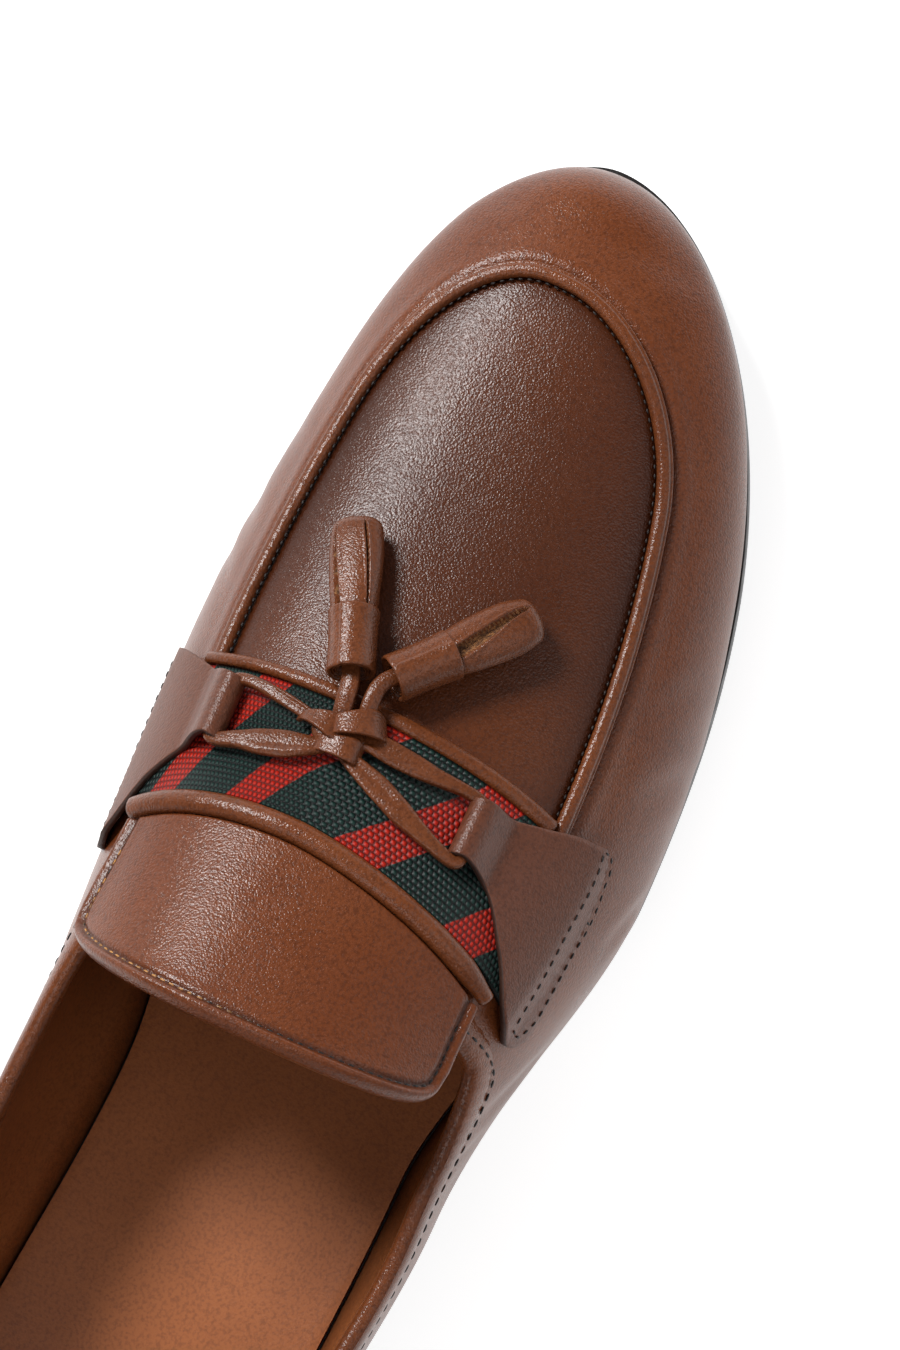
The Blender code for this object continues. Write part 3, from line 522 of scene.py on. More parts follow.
# Stitches: length, width, height and pitch
STITCH, STITCH_PITCH = (0.0019, 0.00062, 0.00042), 0.0026
FINE_STITCH, FINE_PITCH = (0.0014, 0.00050, 0.00036), 0.0019
EDGE_STITCH, EDGE_PITCH = (0.0009, 0.0004, 0.0004), 0.0016
APRON_STITCH, APRON_PITCH = (0.0011, 0.00045, 0.00045), 0.0017
TAB_PITCH = 0.0023


def laid(points):
    return np.asarray(points, float) - ORIGIN


def unit(vectors):
    return vectors / np.linalg.norm(vectors, axis=-1, keepdims=True)


def skin_normal(x, q):
    """The upper's outward normal."""
    return unit(skin(x, q, GAP) - skin(x, q))


def arc_lengths(points):
    return np.concatenate([[0], np.cumsum(np.linalg.norm(np.diff(points, axis=0), axis=1))])


def grid(cells_u, cells_v, place, mark=None):
    """A grid on the unit square, with each vertex moved to place(u, v); its UVs stay square. Faces
    where mark(u, v) holds take the second material."""
    bm = bmesh.new()
    bm.loops.layers.uv.new("UVMap")
    bmesh.ops.create_grid(bm, x_segments=cells_u, y_segments=cells_v, size=0.5, calc_uvs=True)
    if mark:
        centres = np.array([f.calc_center_median()[:] for f in bm.faces]) + 0.5
        for face, second in zip(bm.faces, mark(centres[:, 0], centres[:, 1])):
            face.material_index = int(second)
    flat = np.array([v.co[:] for v in bm.verts]) + 0.5
    for vertex, spot in zip(bm.verts, laid(place(flat[:, 0], flat[:, 1]))):
        vertex.co = spot
    return bm


def frame_matrix(*columns):
    """A placing matrix from its three axes and its origin."""
    return Matrix([*np.stack(columns, -1).tolist(), [0, 0, 0, 1]])


def set_layers(bm, **layers):
    """Store a value for each vertex under each name."""
    for name, values in layers.items():
        layer = bm.verts.layers.float.new(name)
        for vertex, value in zip(bm.verts, values):
            vertex[layer] = value


def join_into(bm, other):
    """Move another bmesh's geometry into this one."""
    mesh = bpy.data.meshes.new("joined")
    other.to_mesh(mesh)
    other.free()
    bm.from_mesh(mesh)
    bpy.data.meshes.remove(mesh)


def close_up(bm):
    """Merge the meeting edges, fill what is left open and turn the faces outwards."""
    bmesh.ops.remove_doubles(bm, verts=bm.verts, dist=MERGE)
    bmesh.ops.dissolve_degenerate(bm, edges=bm.edges, dist=MERGE)
    rims = [e for e in bm.edges if e.is_boundary]
    if rims:
        bmesh.ops.holes_fill(bm, edges=rims)
    bmesh.ops.recalc_face_normals(bm, faces=bm.faces)


def turn_up(bm):
    """Turn an open sheet's faces so that its highest one looks up."""
    bmesh.ops.recalc_face_normals(bm, faces=bm.faces)
    highest = max(bm.faces, key=lambda f: f.calc_center_median().z)
    if highest.normal.z < 0:
        bmesh.ops.reverse_faces(bm, faces=bm.faces)


def new_object(name, data):
    made = bpy.data.objects.new(name, data)
    bpy.context.scene.collection.objects.link(made)
    return made


def add_piece(name, bm, finishes, nodes=()):
    """A finished piece: its mesh, materials, body and the solids it stands for."""
    mesh = bpy.data.meshes.new(name)
    bm.to_mesh(mesh)
    bm.free()
    mesh.shade_smooth()
    piece = new_object(name, mesh)
    for finish in finishes if isinstance(finishes, list) else [finishes]:
        mesh.materials.append(finish)
    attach(piece, BODY)
    if nodes:
        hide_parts(*nodes)
    return piece


def thicken(piece, thickness, offset, rim=0):
    shell = piece.modifiers.new("wall", "SOLIDIFY")
    shell.thickness = thickness
    shell.offset = offset
    shell.material_offset_rim = rim
    return piece


def soften(piece, width, segments=3):
    bevel = piece.modifiers.new("edge", "BEVEL")
    bevel.width = width
    bevel.segments = segments
    bevel.limit_method = "ANGLE"
    bevel.angle_limit = radians(40)
    bevel.use_clamp_overlap = True
    return piece


def sweep(points, normals, outline, around):
    """A closed body along a run of points. outline(s, v) gives how far across and how far up its
    section lies, at the share s of the run and the share v of the way round."""
    points = np.asarray(points, float)
    runs = unit(np.gradient(points, axis=0))
    across = unit(np.cross(runs, normals))
    upright = np.cross(across, runs)
    count = len(points)

    def place(u, v):
        i = np.clip(np.rint(u * (count - 1)).astype(int), 0, count - 1)
        wide, high = outline(i / (count - 1), v)
        return points[i] + wide[:, None] * across[i] + high[:, None] * upright[i]
    bm = grid(count - 1, around, place)
    close_up(bm)
    return bm


def ring(v, width, height, square=1.0):
    """How far across and up an ellipse lies at the share v of the way round, squarer with a square
    below 1."""
    turn = v * 2 * pi
    wide, high = (np.sign(f(turn)) * np.abs(f(turn)) ** square / 2 for f in (np.cos, np.sin))
    return wide * width, high * height


def sew(name, rows, finish, size=STITCH, pitch=STITCH_PITCH):
    """Stitches lying along runs of points; each row gives the points and their normals."""
    bm = bmesh.new()
    for points, normals in rows:
        points, normals = laid(points), unit(np.asarray(normals, float))
        reach = arc_lengths(points)
        count = max(int(reach[-1] / pitch), 1)
        at = (np.arange(count) + 0.5) * reach[-1] / count
        spots, ups, runs = (
            np.stack([np.interp(at, reach, values[:, i]) for i in range(3)], -1)
            for values in (points, normals, np.gradient(points, axis=0)))
        for spot, up, run in zip(spots, unit(ups), unit(runs)):
            side = np.cross(up, run)
            stand = frame_matrix(run * size[0] / 2, side * size[1] / 2, up * size[2] / 2, spot)
            bmesh.ops.create_uvsphere(bm, u_segments=6, v_segments=4, radius=1, matrix=stand)
    return add_piece(name, bm, finish)


# Shader expressions

def arithmetic(operation, turned=False):
    def apply(self, other):
        return self.maths(operation, *((other, self) if turned else (self, other)))
    return apply


class Wire:
    """A socket's value, which takes part in plain arithmetic."""

    def __init__(self, finish, socket):
        self.finish = finish
        self.socket = socket

    def maths(self, operation, *values):
        return self.finish.node("Math", {"operation": operation}, *values)

    __add__, __radd__ = arithmetic("ADD"), arithmetic("ADD", True)
    __sub__, __rsub__ = arithmetic("SUBTRACT"), arithmetic("SUBTRACT", True)
    __mul__ = arithmetic("MULTIPLY")
    __truediv__ = arithmetic("DIVIDE")

    def sine(self):
        return self.maths("SINE", self)

    def fraction(self):
        return self.maths("FRACT", self)

    def floor(self):
        return self.maths("FLOOR", self)

    def size(self):
        return self.maths("ABSOLUTE", self)

    def step(self, low, high):
        """0 below low, 1 above high, smooth between."""
        return self.finish.node("MapRange", {"interpolation_type": "SMOOTHSTEP"},
                                self, low, high, 0.0, 1.0)


class Finish:
    """A node tree that is written as expressions."""

    def __init__(self, tree):
        self.tree = tree

    def node(self, kind, settings, *values, out=0, **named):
        """Add a node: its settings first, then its sockets' values or links."""
        made = self.tree.nodes.new("ShaderNode" + kind)
        for key, value in settings.items():
            if key == "stops":
                self.set_stops(made.color_ramp, value)
            else:
                setattr(made, key, value)
        for key, value in [*enumerate(values), *named.items()]:
            self.feed(made.inputs[key], value)
        return Wire(self, made.outputs[out])

    def feed(self, socket, value):
        if isinstance(value, Wire):
            self.tree.links.new(value.socket, socket)
        else:
            socket.default_value = value

    def set_stops(self, ramp, stops):
        while len(ramp.elements) < len(stops):
            ramp.elements.new(0.5)
        for element, (place, colour) in zip(ramp.elements, stops):
            element.position = place
            element.color = colour

    def mix(self, share, low, high):
        """A colour between two others."""
        mixed = self.tree.nodes.new("ShaderNodeMix")
        mixed.data_type = "RGBA"
        colours = [s for s in mixed.inputs if s.type == "RGBA"]
        self.feed(mixed.inputs["Factor"], share)
        self.feed(colours[0], low)
        self.feed(colours[1], high)
        return Wire(self, next(s for s in mixed.outputs if s.type == "RGBA"))

    def place(self):
        return self.node("TexCoord", {}, out="Object")

    def attribute(self, name):
        return self.node("Attribute", {"attribute_name": name}, out="Fac")

    def noise(self, size, detail=2.0):
        """Cloudy noise with lumps of that size in metres."""
        return self.node("TexNoise", {}, out="Fac", Vector=self.place(), Scale=1 / size, Detail=detail)

    def cells(self, size):
        """Distance from the middle of the cells of that size."""
        return self.node("TexVoronoi", {"feature": "SMOOTH_F1"}, out="Distance",
                         Vector=self.place(), Scale=1 / size, Smoothness=0.6)


def make_finish(name, colour, roughness, height=None, depth=0.0001, specular=0.5):
    """A material. colour, roughness and height are values, or functions of the node tree."""
    material = bpy.data.materials.new(name)
    material.use_nodes = True
    finish = Finish(material.node_tree)
    shader = material.node_tree.nodes["Principled BSDF"]
    shader.inputs["Specular IOR Level"].default_value = specular
    finish.feed(shader.inputs["Base Color"], colour(finish) if callable(colour) else colour)
    finish.feed(shader.inputs["Roughness"], roughness(finish) if callable(roughness) else roughness)
    if height:
        bump = finish.node("Bump", {}, Strength=1.0, Distance=depth, Height=height(finish))
        finish.feed(shader.inputs["Normal"], bump)
    return material


CALF_SPECULAR = 0.36
GRAIN = 0.00042


def leather(name, dark, mid, warm, depth=0.000065, rough=0.29, dyed_and_shaded=False):
    """Burnished calf: cloudy browns, a fine pebble grain and, where asked, its vertices' dye and
    painted shading in the seams.
    """
    def colour(f):
        tone = f.mix(f.noise(0.028, 3.0).step(0.35, 0.68), mid, warm)
        tone = f.mix(f.noise(0.0007, 2.0).step(0.38, 0.75) * 0.45, tone, dark)
        # the vertices' dye, and the painted shade in the seams
        if dyed_and_shaded:
            tone = f.mix(f.attribute("shade"), tone, dark)
        return tone

    def height(f):
        return f.noise(GRAIN * 0.6, 1.0) * 0.7 - f.cells(GRAIN) * 1.2 + f.noise(0.005, 1.0) * 1.2

    def roughness(f):
        return rough + f.noise(0.012, 2.0) * 0.12 - 0.06
    return make_finish(name, colour, roughness, height, depth, specular=CALF_SPECULAR)


DEEP = (0.030, 0.0070, 0.0022, 1.0)
CHESTNUT = (0.132, 0.0325, 0.0085, 1.0)
AMBER = (0.158, 0.0420, 0.0120, 1.0)
ROSE_BROWN = (0.120, 0.0380, 0.0190, 1.0)
SUEDE = (0.300, 0.1300, 0.0420, 1.0)
INK = (0.008, 0.0035, 0.0022, 1.0)
# The painted glint of the tongue's stitches on their lit medial side
PAINTED_GLINT = (0.420, 0.1900, 0.0450, 1.0)

# The upper's calf takes its vertices' dye and painted seam shade
UPPER_CALF = leather("upper_calf", DEEP, CHESTNUT, AMBER, dyed_and_shaded=True)
TRIM_CALF = leather("trim_calf", DEEP, (0.125, 0.0330, 0.0090, 1.0), (0.160, 0.0430, 0.0115, 1.0),
                    rough=0.28)
TAB_CALF = leather("tab_calf", DEEP, (0.112, 0.0330, 0.0140, 1.0), ROSE_BROWN, rough=0.38)
THONG_CALF = leather("thong_calf", DEEP, (0.120, 0.0330, 0.0100, 1.0), (0.150, 0.0430, 0.0140, 1.0),
                     rough=0.27)
LINING_CALF = leather("lining_calf", (0.080, 0.0220, 0.0070, 1.0), (0.235, 0.0720, 0.0200, 1.0),
                      (0.270, 0.0860, 0.0240, 1.0), depth=0.00003, rough=0.50)
SOCK_CALF = leather("sock_calf", (0.110, 0.0320, 0.0095, 1.0), (0.300, 0.0900, 0.0240, 1.0),
                    (0.340, 0.1050, 0.0290, 1.0), depth=0.00003, rough=0.50)
RAW_SUEDE = make_finish(
    "raw_suede",
    lambda f: f.mix(f.noise(0.0006, 3.0).step(0.35, 0.7), (0.090, 0.035, 0.014, 1.0), SUEDE),
    0.85, lambda f: f.noise(0.0003, 3.0), 0.0002)
CUT_EDGE = make_finish(
    "cut_edge", lambda f: f.mix(f.noise(0.0008, 2.0), INK, (0.070, 0.024, 0.012, 1.0)), 0.55,
    lambda f: f.noise(0.0003, 2.0), 0.0001)
DARK_THREAD = make_finish("dark_thread", INK, 0.6, lambda f: f.noise(0.0002, 1.0), 0.00005)
# Tongue stitches: dark thread with a painted glint, in patches, on the medial side where the key lamp
# falls
GLINTING_THREAD = make_finish(
    "glinting_thread",
    lambda f: f.mix(f.node("SeparateXYZ", {}, f.place(), out=1).step(-0.006, 0.012)
                    * f.noise(0.003, 1.0).step(0.35, 0.5), INK, PAINTED_GLINT), 0.45)
BRIGHT_THREAD = make_finish("bright_thread", (0.300, 0.150, 0.085, 1.0), 0.35)
SOLE_RUBBER = make_finish(
    "sole_rubber", (0.012, 0.011, 0.011, 1.0), lambda f: 0.34 + f.noise(0.004, 2.0) * 0.16,
    lambda f: f.noise(0.0007, 3.0), 0.00006)


# Webbing: threads across, picks along, the stripe's slant and pitch, its red part, and the colours
BAND_THREADS = 23.0
BAND_PICKS = 92.0
STRIPE_SLANT = 1 / 27
STRIPE_PICKS = 21.0
RED_FROM, RED_TO = 0.56, 0.925
PINE = (0.0030, 0.0150, 0.0120, 1.0)
GREEN = (0.006, 0.032, 0.025, 1.0)
RED = (0.400, 0.0105, 0.0015, 1.0)
# Painted shade for the gaps between the raised threads
GREEN_IN_SHADE = (0.0015, 0.0030, 0.0028, 1.0)
RED_IN_SHADE = (0.120, 0.0040, 0.0015, 1.0)


def webbing():
    """Ribbed webbing with slanting stripes, on UVs that run across and along the band."""
    def parts(f):
        uv = f.node("TexCoord", {}, out="UV")
        across = f.node("SeparateXYZ", {}, uv, out=0)
        along = f.node("SeparateXYZ", {}, uv, out=1)
        return across * BAND_THREADS, along * BAND_PICKS

    def weave(f):
        across, along = parts(f)
        shifted = along + across.floor() * 0.5
        return (shifted * pi).sine().size() * (across * pi).sine().size()

    def colour(f):
        across, along = parts(f)
        slant = (across * STRIPE_SLANT + along / STRIPE_PICKS + f.noise(0.002, 1.0) * 0.02).fraction()
        red = slant.step(RED_FROM, RED_FROM + 0.015) * (1 - slant.step(RED_TO, RED_TO + 0.015))
        thread = f.mix(red, f.mix(f.noise(0.010, 2.0), PINE, GREEN), RED)
        # painted shade in the gaps between the threads
        dark = f.mix(red, GREEN_IN_SHADE, RED_IN_SHADE)
        return f.mix(weave(f).step(0.12, 0.75), dark, thread)
    return make_finish("web_weave", colour, 0.50, weave, 0.00026, specular=0.30)


WEBBING = webbing()


# The upper

def seam_q(x, side):
    """How far from the top line the apron seam runs at the station x."""
    rear, bend = APRON_Q[side]
    along = np.clip((x - APRON_REAR_X[side]) / (APRON_BEND_X - APRON_REAR_X[side]), 0, 1)
    p, r = APRON_ROUND
    turn = np.arcsin(np.clip((x - APRON_BEND_X) / (APRON_TIP_X - APRON_BEND_X), 0, 1) ** (p / 2))
    return np.where(x < APRON_BEND_X, rear + (bend - rear) * along, bend * np.cos(turn) ** (2 / r))


def apron_line(count, lift=0.0, run_on=0.0):
    """The apron seam, from its lateral end round the toe to its medial end; run_on is the share by
    which it goes on at both ends."""
    t = np.linspace(-1 - run_on, 1 + run_on, count)
    p, r = APRON_ROUND
    a = np.minimum((1 - np.abs(t)) * 2, 1)
    turn = np.clip(0.5 - np.abs(t), 0, 0.5) * pi
    rear_x = np.where(t > 0, APRON_REAR_X[MEDIAL], APRON_REAR_X[LATERAL])
    rear_q, bend_q = (np.where(t > 0, *pair) for pair in zip(APRON_Q[MEDIAL], APRON_Q[LATERAL]))
    sides = np.abs(t) > 0.5
    x = np.where(sides, rear_x + (APRON_BEND_X - rear_x) * a,
                 APRON_BEND_X + (APRON_TIP_X - APRON_BEND_X) * np.sin(turn) ** (2 / p))
    q = np.where(sides, rear_q + (bend_q - rear_q) * a, bend_q * np.cos(turn) ** (2 / r))
    return skin(x, np.sign(t) * q, lift)


def nearest(line, points):
    """Distance from each point to a line, and how far along the line the nearest spot is."""
    tree = KDTree(len(line))
    for i, spot in enumerate(line):
        tree.insert(spot, i)
    tree.balance()
    found = [tree.find(p) for p in points]
    return np.array([f[2] for f in found]), arc_lengths(line)[[f[1] for f in found]]


def hump(distance, width):
    return np.exp(-(distance / width) ** 2)


def crease_relief(points):
    """Soft troughs with a low ridge on each side, along the listed creases."""
    relief = np.zeros(len(points))
    for side, x0, q0, x1, q1, bow, depth, width in CREASES:
        t = np.linspace(0, 1, 60)
        x = (x0 + (x1 - x0) * t) * LENGTH + bow * np.sin(pi * t)
        line = skin(x, side * (q0 + (q1 - q0) * t))
        near = np.linalg.norm(points - line[30], axis=1) < CREASE_REACH
        distance, along = nearest(line, points[near])
        fade = np.sin(pi * np.clip(along / arc_lengths(line)[-1], 0, 1)) ** 0.8
        trough = hump(distance, width)
        trough -= CREASE_RIDGE * hump(distance - CREASE_RIDGE_AT * width, width)
        relief[near] -= depth * fade * trough
    return relief


def upper_relief(points, q, side):
    """Height of the leather above the last's surface, and how dark its colour is: the apron's dye and
    painted shading in the seam.
    """
    distance, along = nearest(apron_line(900), points)
    x = points[:, 0]
    inside = (np.abs(q) < seam_q(x, side) - MERGE) & (x > APRON_REAR_X[side] - 0.01)
    outside = ~inside
    front = ease((x - PUCKER_FROM) / PUCKER_RUN)
    relief = -SEAM_DIP * hump(distance, SEAM_REACH)
    relief += outside * LIP * hump(distance - LIP_AT, LIP_WIDE)
    gather = np.sin(2 * pi * along / PUCKER_PITCH) * hump(distance - PUCKER_AT, PUCKER_WIDE)
    relief += outside * front * PUCKER * gather
    relief += inside * APRON_CROWN * (1 - hump(distance, CROWN_REACH))
    swell = GIRTH_SWELL + TOE_SWELL * ease((x - TOE_SWELL_FROM) / TOE_SWELL_RUN)
    across = hump(np.abs(q) - (1 - GIRTH_W), SWELL_REACH)
    tip = ease((x - TOE_X + TOE_TIP) / (TOE_TIP - TOE_END))
    relief += swell * (across + (1 - across) * tip)
    relief += crease_relief(points)
    dye = APRON_DYE + MIDDLE_DYE * hump(x - MIDDLE_DYE_AT, MIDDLE_DYE_RUN)
    dye = inside * (dye + EDGE_DYE * hump(distance, EDGE_DYE_WIDE))
    # painted shade in the seam's crease, added to the dye
    return relief, np.clip(SEAM_SHADE * hump(distance, SEAM_SHADE_WIDE) + dye, 0, 1)


def upper_share(u):
    """Share of the last for a column of the upper's mesh, closer together on the vamp."""
    quarter = u / QUARTER_COLUMNS * THROAT_U
    vamp = THROAT_U + (u - QUARTER_COLUMNS) / (1 - QUARTER_COLUMNS) * (1 - THROAT_U)
    return np.where(u < QUARTER_COLUMNS, quarter, vamp)


def upper_height(u, v, side):
    """How far up the section a row of the upper's mesh lies, closer together at the apron seam."""
    low = np.minimum(v / LOW_ROWS, 1) * GIRTH_W
    t = np.clip((v - LOW_ROWS) / (1 - LOW_ROWS), 0, 1)
    wave = np.sin(2 * pi * (t - SEAM_ROW)) + np.sin(2 * pi * SEAM_ROW)
    high = t - SEAM_CROWD / (2 * pi) * wave
    return low + high * (topline_w(u, side) - GIRTH_W)


def half_upper(side, columns, rows, values):
    """One side of the upper's outer face, with each vertex's lift, dye and painted shading stored."""
    kept = {}

    def place(u, v):
        u = upper_share(u)
        w = upper_height(u, v, side)
        points = last_point(u, side, w)
        kept["lift"], kept["shade"] = values(points, (1 - w) * side, side)
        return points
    bm = grid(columns, rows, place)
    set_layers(bm, **kept)
    return bm


def whole_upper(columns, rows, values):
    """Both sides joined, with each vertex lifted along its own normal."""
    bm = bmesh.new()
    for side in SIDES:
        join_into(bm, half_upper(side, columns, rows, values))
    bmesh.ops.remove_doubles(bm, verts=bm.verts, dist=MERGE)
    bmesh.ops.dissolve_degenerate(bm, edges=bm.edges, dist=MERGE)
    bmesh.ops.recalc_face_normals(bm, faces=bm.faces)
    foremost = max(bm.faces, key=lambda f: f.calc_center_median().x)
    if foremost.normal.x < 0:
        bmesh.ops.reverse_faces(bm, faces=bm.faces)
    bm.normal_update()
    lift = bm.verts.layers.float["lift"]
    for vertex in bm.verts:
        vertex.co += vertex.normal * vertex[lift]
    return bm


def make_upper():
    bm = whole_upper(UPPER_COLUMNS, UPPER_ROWS, upper_relief)
    thicken(add_piece("upper_leather", bm, UPPER_CALF, ["upper"]), LEATHER, -1)

    def inset(points, q, side):
        return np.full(len(points), -LEATHER - LINING_GAP), np.zeros(len(points))
    bm = whole_upper(*LINING_CELLS, inset)
    thicken(add_piece("upper_lining", bm, LINING_CALF, ["upper"]),
            WALL - LEATHER, -1)


def make_piping():
    """The apron's piping: a domed strip of folded leather with a groove along its outer edge."""
    points, above, below = (rounded(apron_line(161, lift, PIPING_RUN_ON), 520)
                            for lift in (PIPING_LIFT, PIPING_HIGH, 0))
    normals = unit(above - below)
    deep, at, reach = PIPING_GROOVE

    def outline(s, v):
        wide, high = ring(v, *PIPING, PIPING_SQUARE)
        return wide, high - deep * hump(wide / PIPING[0] * 2 - at, reach) * (high > 0)
    add_piece("apron_piping_cord", sweep(points, normals, outline, 44), TRIM_CALF,
              ["apron_piping"])
    side = unit(np.cross(unit(np.gradient(points, axis=0)), normals))
    crease = points - side * PIPING_SEAM[0] - normals * PIPING_SEAM[1]
    sew("apron_stitches", [(crease[6:-6], normals[6:-6])], DARK_THREAD, APRON_STITCH, APRON_PITCH)


# Collar

def rim(count, down=0.0):
    """The upper's edge, or a line that runs down the wall from it, from the lateral throat round the
    heel to the medial throat, with the outward normal and the direction up the wall."""
    u = np.linspace(0, THROAT_U * THROAT_SHORT, count // 2)
    halves = {}
    for side in SIDES:
        w = topline_w(u, side)
        step = last_point(u, side, w) - last_point(u, side, w - WALL_STEP)
        w = w - WALL_STEP * down / np.linalg.norm(step, axis=-1)
        halves[side] = last_point(u, side, w), last_point(u, side, w - WALL_STEP)
    edge, below = (np.concatenate([halves[LATERAL][i][::-1], halves[MEDIAL][i][1:]])
                   for i in range(2))
    points, below = rounded(edge, count), rounded(below, count)
    runs = unit(np.gradient(points, axis=0))
    outward = unit(np.cross(points - below, runs))
    outward *= -np.sign(outward[0, 1])
    ups = unit(np.cross(outward, runs))
    return points, outward, ups * np.sign(np.sum(ups * (points - below), axis=1))[:, None]


def make_collar():
    points, outward, ups = rim(360)
    middle_line = points - outward * WALL / 2 - ups * (COLLAR_DOWN - COLLAR_UP) / 2
    size = (COLLAR_DOWN + COLLAR_UP, WALL + 2 * COLLAR_PROUD)
    pull, number, at, reach = COLLAR_PUCKER

    def outline(s, v):
        wide, high = ring(v, *size, COLLAR_SQUARE)
        return wide, high + pull * np.sin(s * number) * hump(s - at, reach) * (high > 0)
    bm = sweep(middle_line, outward, outline, 28)
    add_piece("collar_roll", bm, TRIM_CALF)
    seam, seam_out, _ = rim(360, COLLAR_DOWN + GAP)
    outer = seam + seam_out * COLLAR_SEAM_OUT
    inner = points - ups * COLLAR_SEAM - outward * (WALL + THREAD_LIFT)
    edge = points - ups * EDGE_SEAM - outward * (WALL + COLLAR_PROUD * EDGE_PROUD)
    sew("collar_stitches", [(outer, seam_out), (inner, -outward)], DARK_THREAD)
    sew("collar_edge_stitches", [(edge, -outward)], BRIGHT_THREAD, EDGE_STITCH, EDGE_PITCH)


# Instep saddle

def make_band():
    def place(u, v):
        q = spread(v, BAND_Q)
        front, rear = beside(front_line, q, -FRONT_ROLL - GAP), rear_line(q)
        return skin(rear + (front - rear) * u, q, GAP + BAND_CROWN * np.sin(pi * u))
    bm = grid(36, 150, place)
    turn_up(bm)
    thicken(add_piece("saddle_webbing", bm, WEBBING, ["web_band"]), BAND, 1)


def make_binding(name, node, line, q, lift, outline):
    bm = sweep(skin(line(q), q, lift), skin_normal(line(q), q), outline, 24)
    add_piece(name, bm, TRIM_CALF, [node])


def make_bindings():
    def front(s, v):
        wide, high = ring(v, *FRONT_SIZE)
        return wide * (1 - FRONT_NARROW * s), high * (1 - FRONT_RISE * (1 - s))

    def rear(s, v):
        wide, high = ring(v, *REAR_SIZE)
        narrow = 1 - REAR_NARROW[0] * ease(1 - s / REAR_NARROW[1])
        return wide * narrow, high * narrow
    make_binding("front_edge_binding", "front_binding", front_line,
                 spread(np.linspace(-0.02, 1.01, 160), FRONT_ROLL_Q), FRONT_ROLL * 0.95 + GAP, front)
    make_binding("rear_edge_roll", "rear_binding", roll_line,
                 spread(np.linspace(-0.03, 1, 160), REAR_ROLL_Q), REAR_ROLL + GAP, rear)


def tongue_spot(u, v):
    """Station and share of a spot on the tongue, u from its root to its free end."""
    s = 2 * v - 1
    side_q = [np.where(s > 0, TONGUE_Q[MEDIAL][i], TONGUE_Q[LATERAL][i]) for i in range(2)]
    q = s * (side_q[0] + (side_q[1] - side_q[0]) * u)
    root = beside(rear_line, q, -2 * (REAR_ROLL + GAP))
    end = TONGUE_X + TONGUE_CORNER * (1 - (1 - np.abs(s) ** TONGUE_SQUARE) ** (1 / TONGUE_SQUARE))
    return root + (end - root) * u, q


def tongue_edge():
    """The tongue's free edge, down one side, round the end and up the other."""
    side = np.linspace(0.0, 1.0, 60)
    share = np.concatenate([side, np.ones(120), side[::-1]])
    v = np.concatenate([np.zeros(60), (1 - np.cos(np.linspace(0, pi, 122)[1:-1])) / 2, np.ones(60)])
    x, q = tongue_spot(share, v)
    return skin(x, q, GAP), x, q


def make_tongue():
    edge = rounded(tongue_edge()[0], 900)

    def place(u, v):
        x, q = tongue_spot(u, v + ((1 - np.cos(v * pi)) / 2 - v) * TONGUE_CROWD)
        return skin(x, q, GAP)
    bm = grid(90, 110, place)
    flat = np.array([v.co[:] for v in bm.verts]) + ORIGIN
    distance, _ = nearest(edge, flat)
    round_edge = np.sqrt(np.clip(1 - (1 - np.clip(distance / TONGUE_EDGE, 0, 1)) ** 2, 0, 1))
    height = TONGUE * round_edge + TONGUE_ROLL * hump(distance - TONGUE_ROLL_AT, TONGUE_ROLL_WIDE)
    height -= TONGUE_SEAM * hump(distance - TONGUE_SEAM_AT, TONGUE_SEAM_WIDE)
    height -= TONGUE_PAD * ease((distance - TONGUE_SEAM_AT) / TONGUE_PAD_RUN)
    # The seam's groove darkened: painted shade
    set_layers(bm, lift=height, shade=TONGUE_SEAM_SHADE * hump(distance - TONGUE_SEAM_AT, TONGUE_SEAM_WIDE))
    turn_up(bm)
    bm.normal_update()
    lift = bm.verts.layers.float["lift"]
    ups = {tuple(np.round(v.co, 7)): v.normal.copy() for v in bm.verts}
    top = bmesh.ops.extrude_face_region(bm, geom=bm.faces[:])["geom"]
    for vertex in (g for g in top if isinstance(g, bmesh.types.BMVert)):
        vertex.co += ups[tuple(np.round(vertex.co, 7))] * vertex[lift]
    close_up(bm)
    add_piece("tongue_pad", bm, UPPER_CALF, ["tongue"])


def make_tongue_stitches():
    line, x, q = tongue_edge()
    ups = skin_normal(x, q)
    inward = unit(np.cross(ups, unit(np.gradient(line, axis=0))))
    sign = np.sign(np.sum(inward * (line.mean(axis=0) - line), axis=1))
    inner = line + inward * (sign * TONGUE_SEAM_AT)[:, None] + ups * (TONGUE - TONGUE_SUNK)
    keep = slice(16, -16)
    # with a painted glint on the lit medial side
    sew("tongue_stitches", [(inner[keep], ups[keep])], GLINTING_THREAD, FINE_STITCH, FINE_PITCH)


def tab_lift(side, q):
    """Height of a tab's middle over the upper: it steps up onto the band."""
    over_band = BAND * ease((BAND_Q[side] + STEP_OUT - q) / STEP_RUN)
    return GAP + TAB / 2 + over_band + np.where(over_band > 0, GAP, 0)


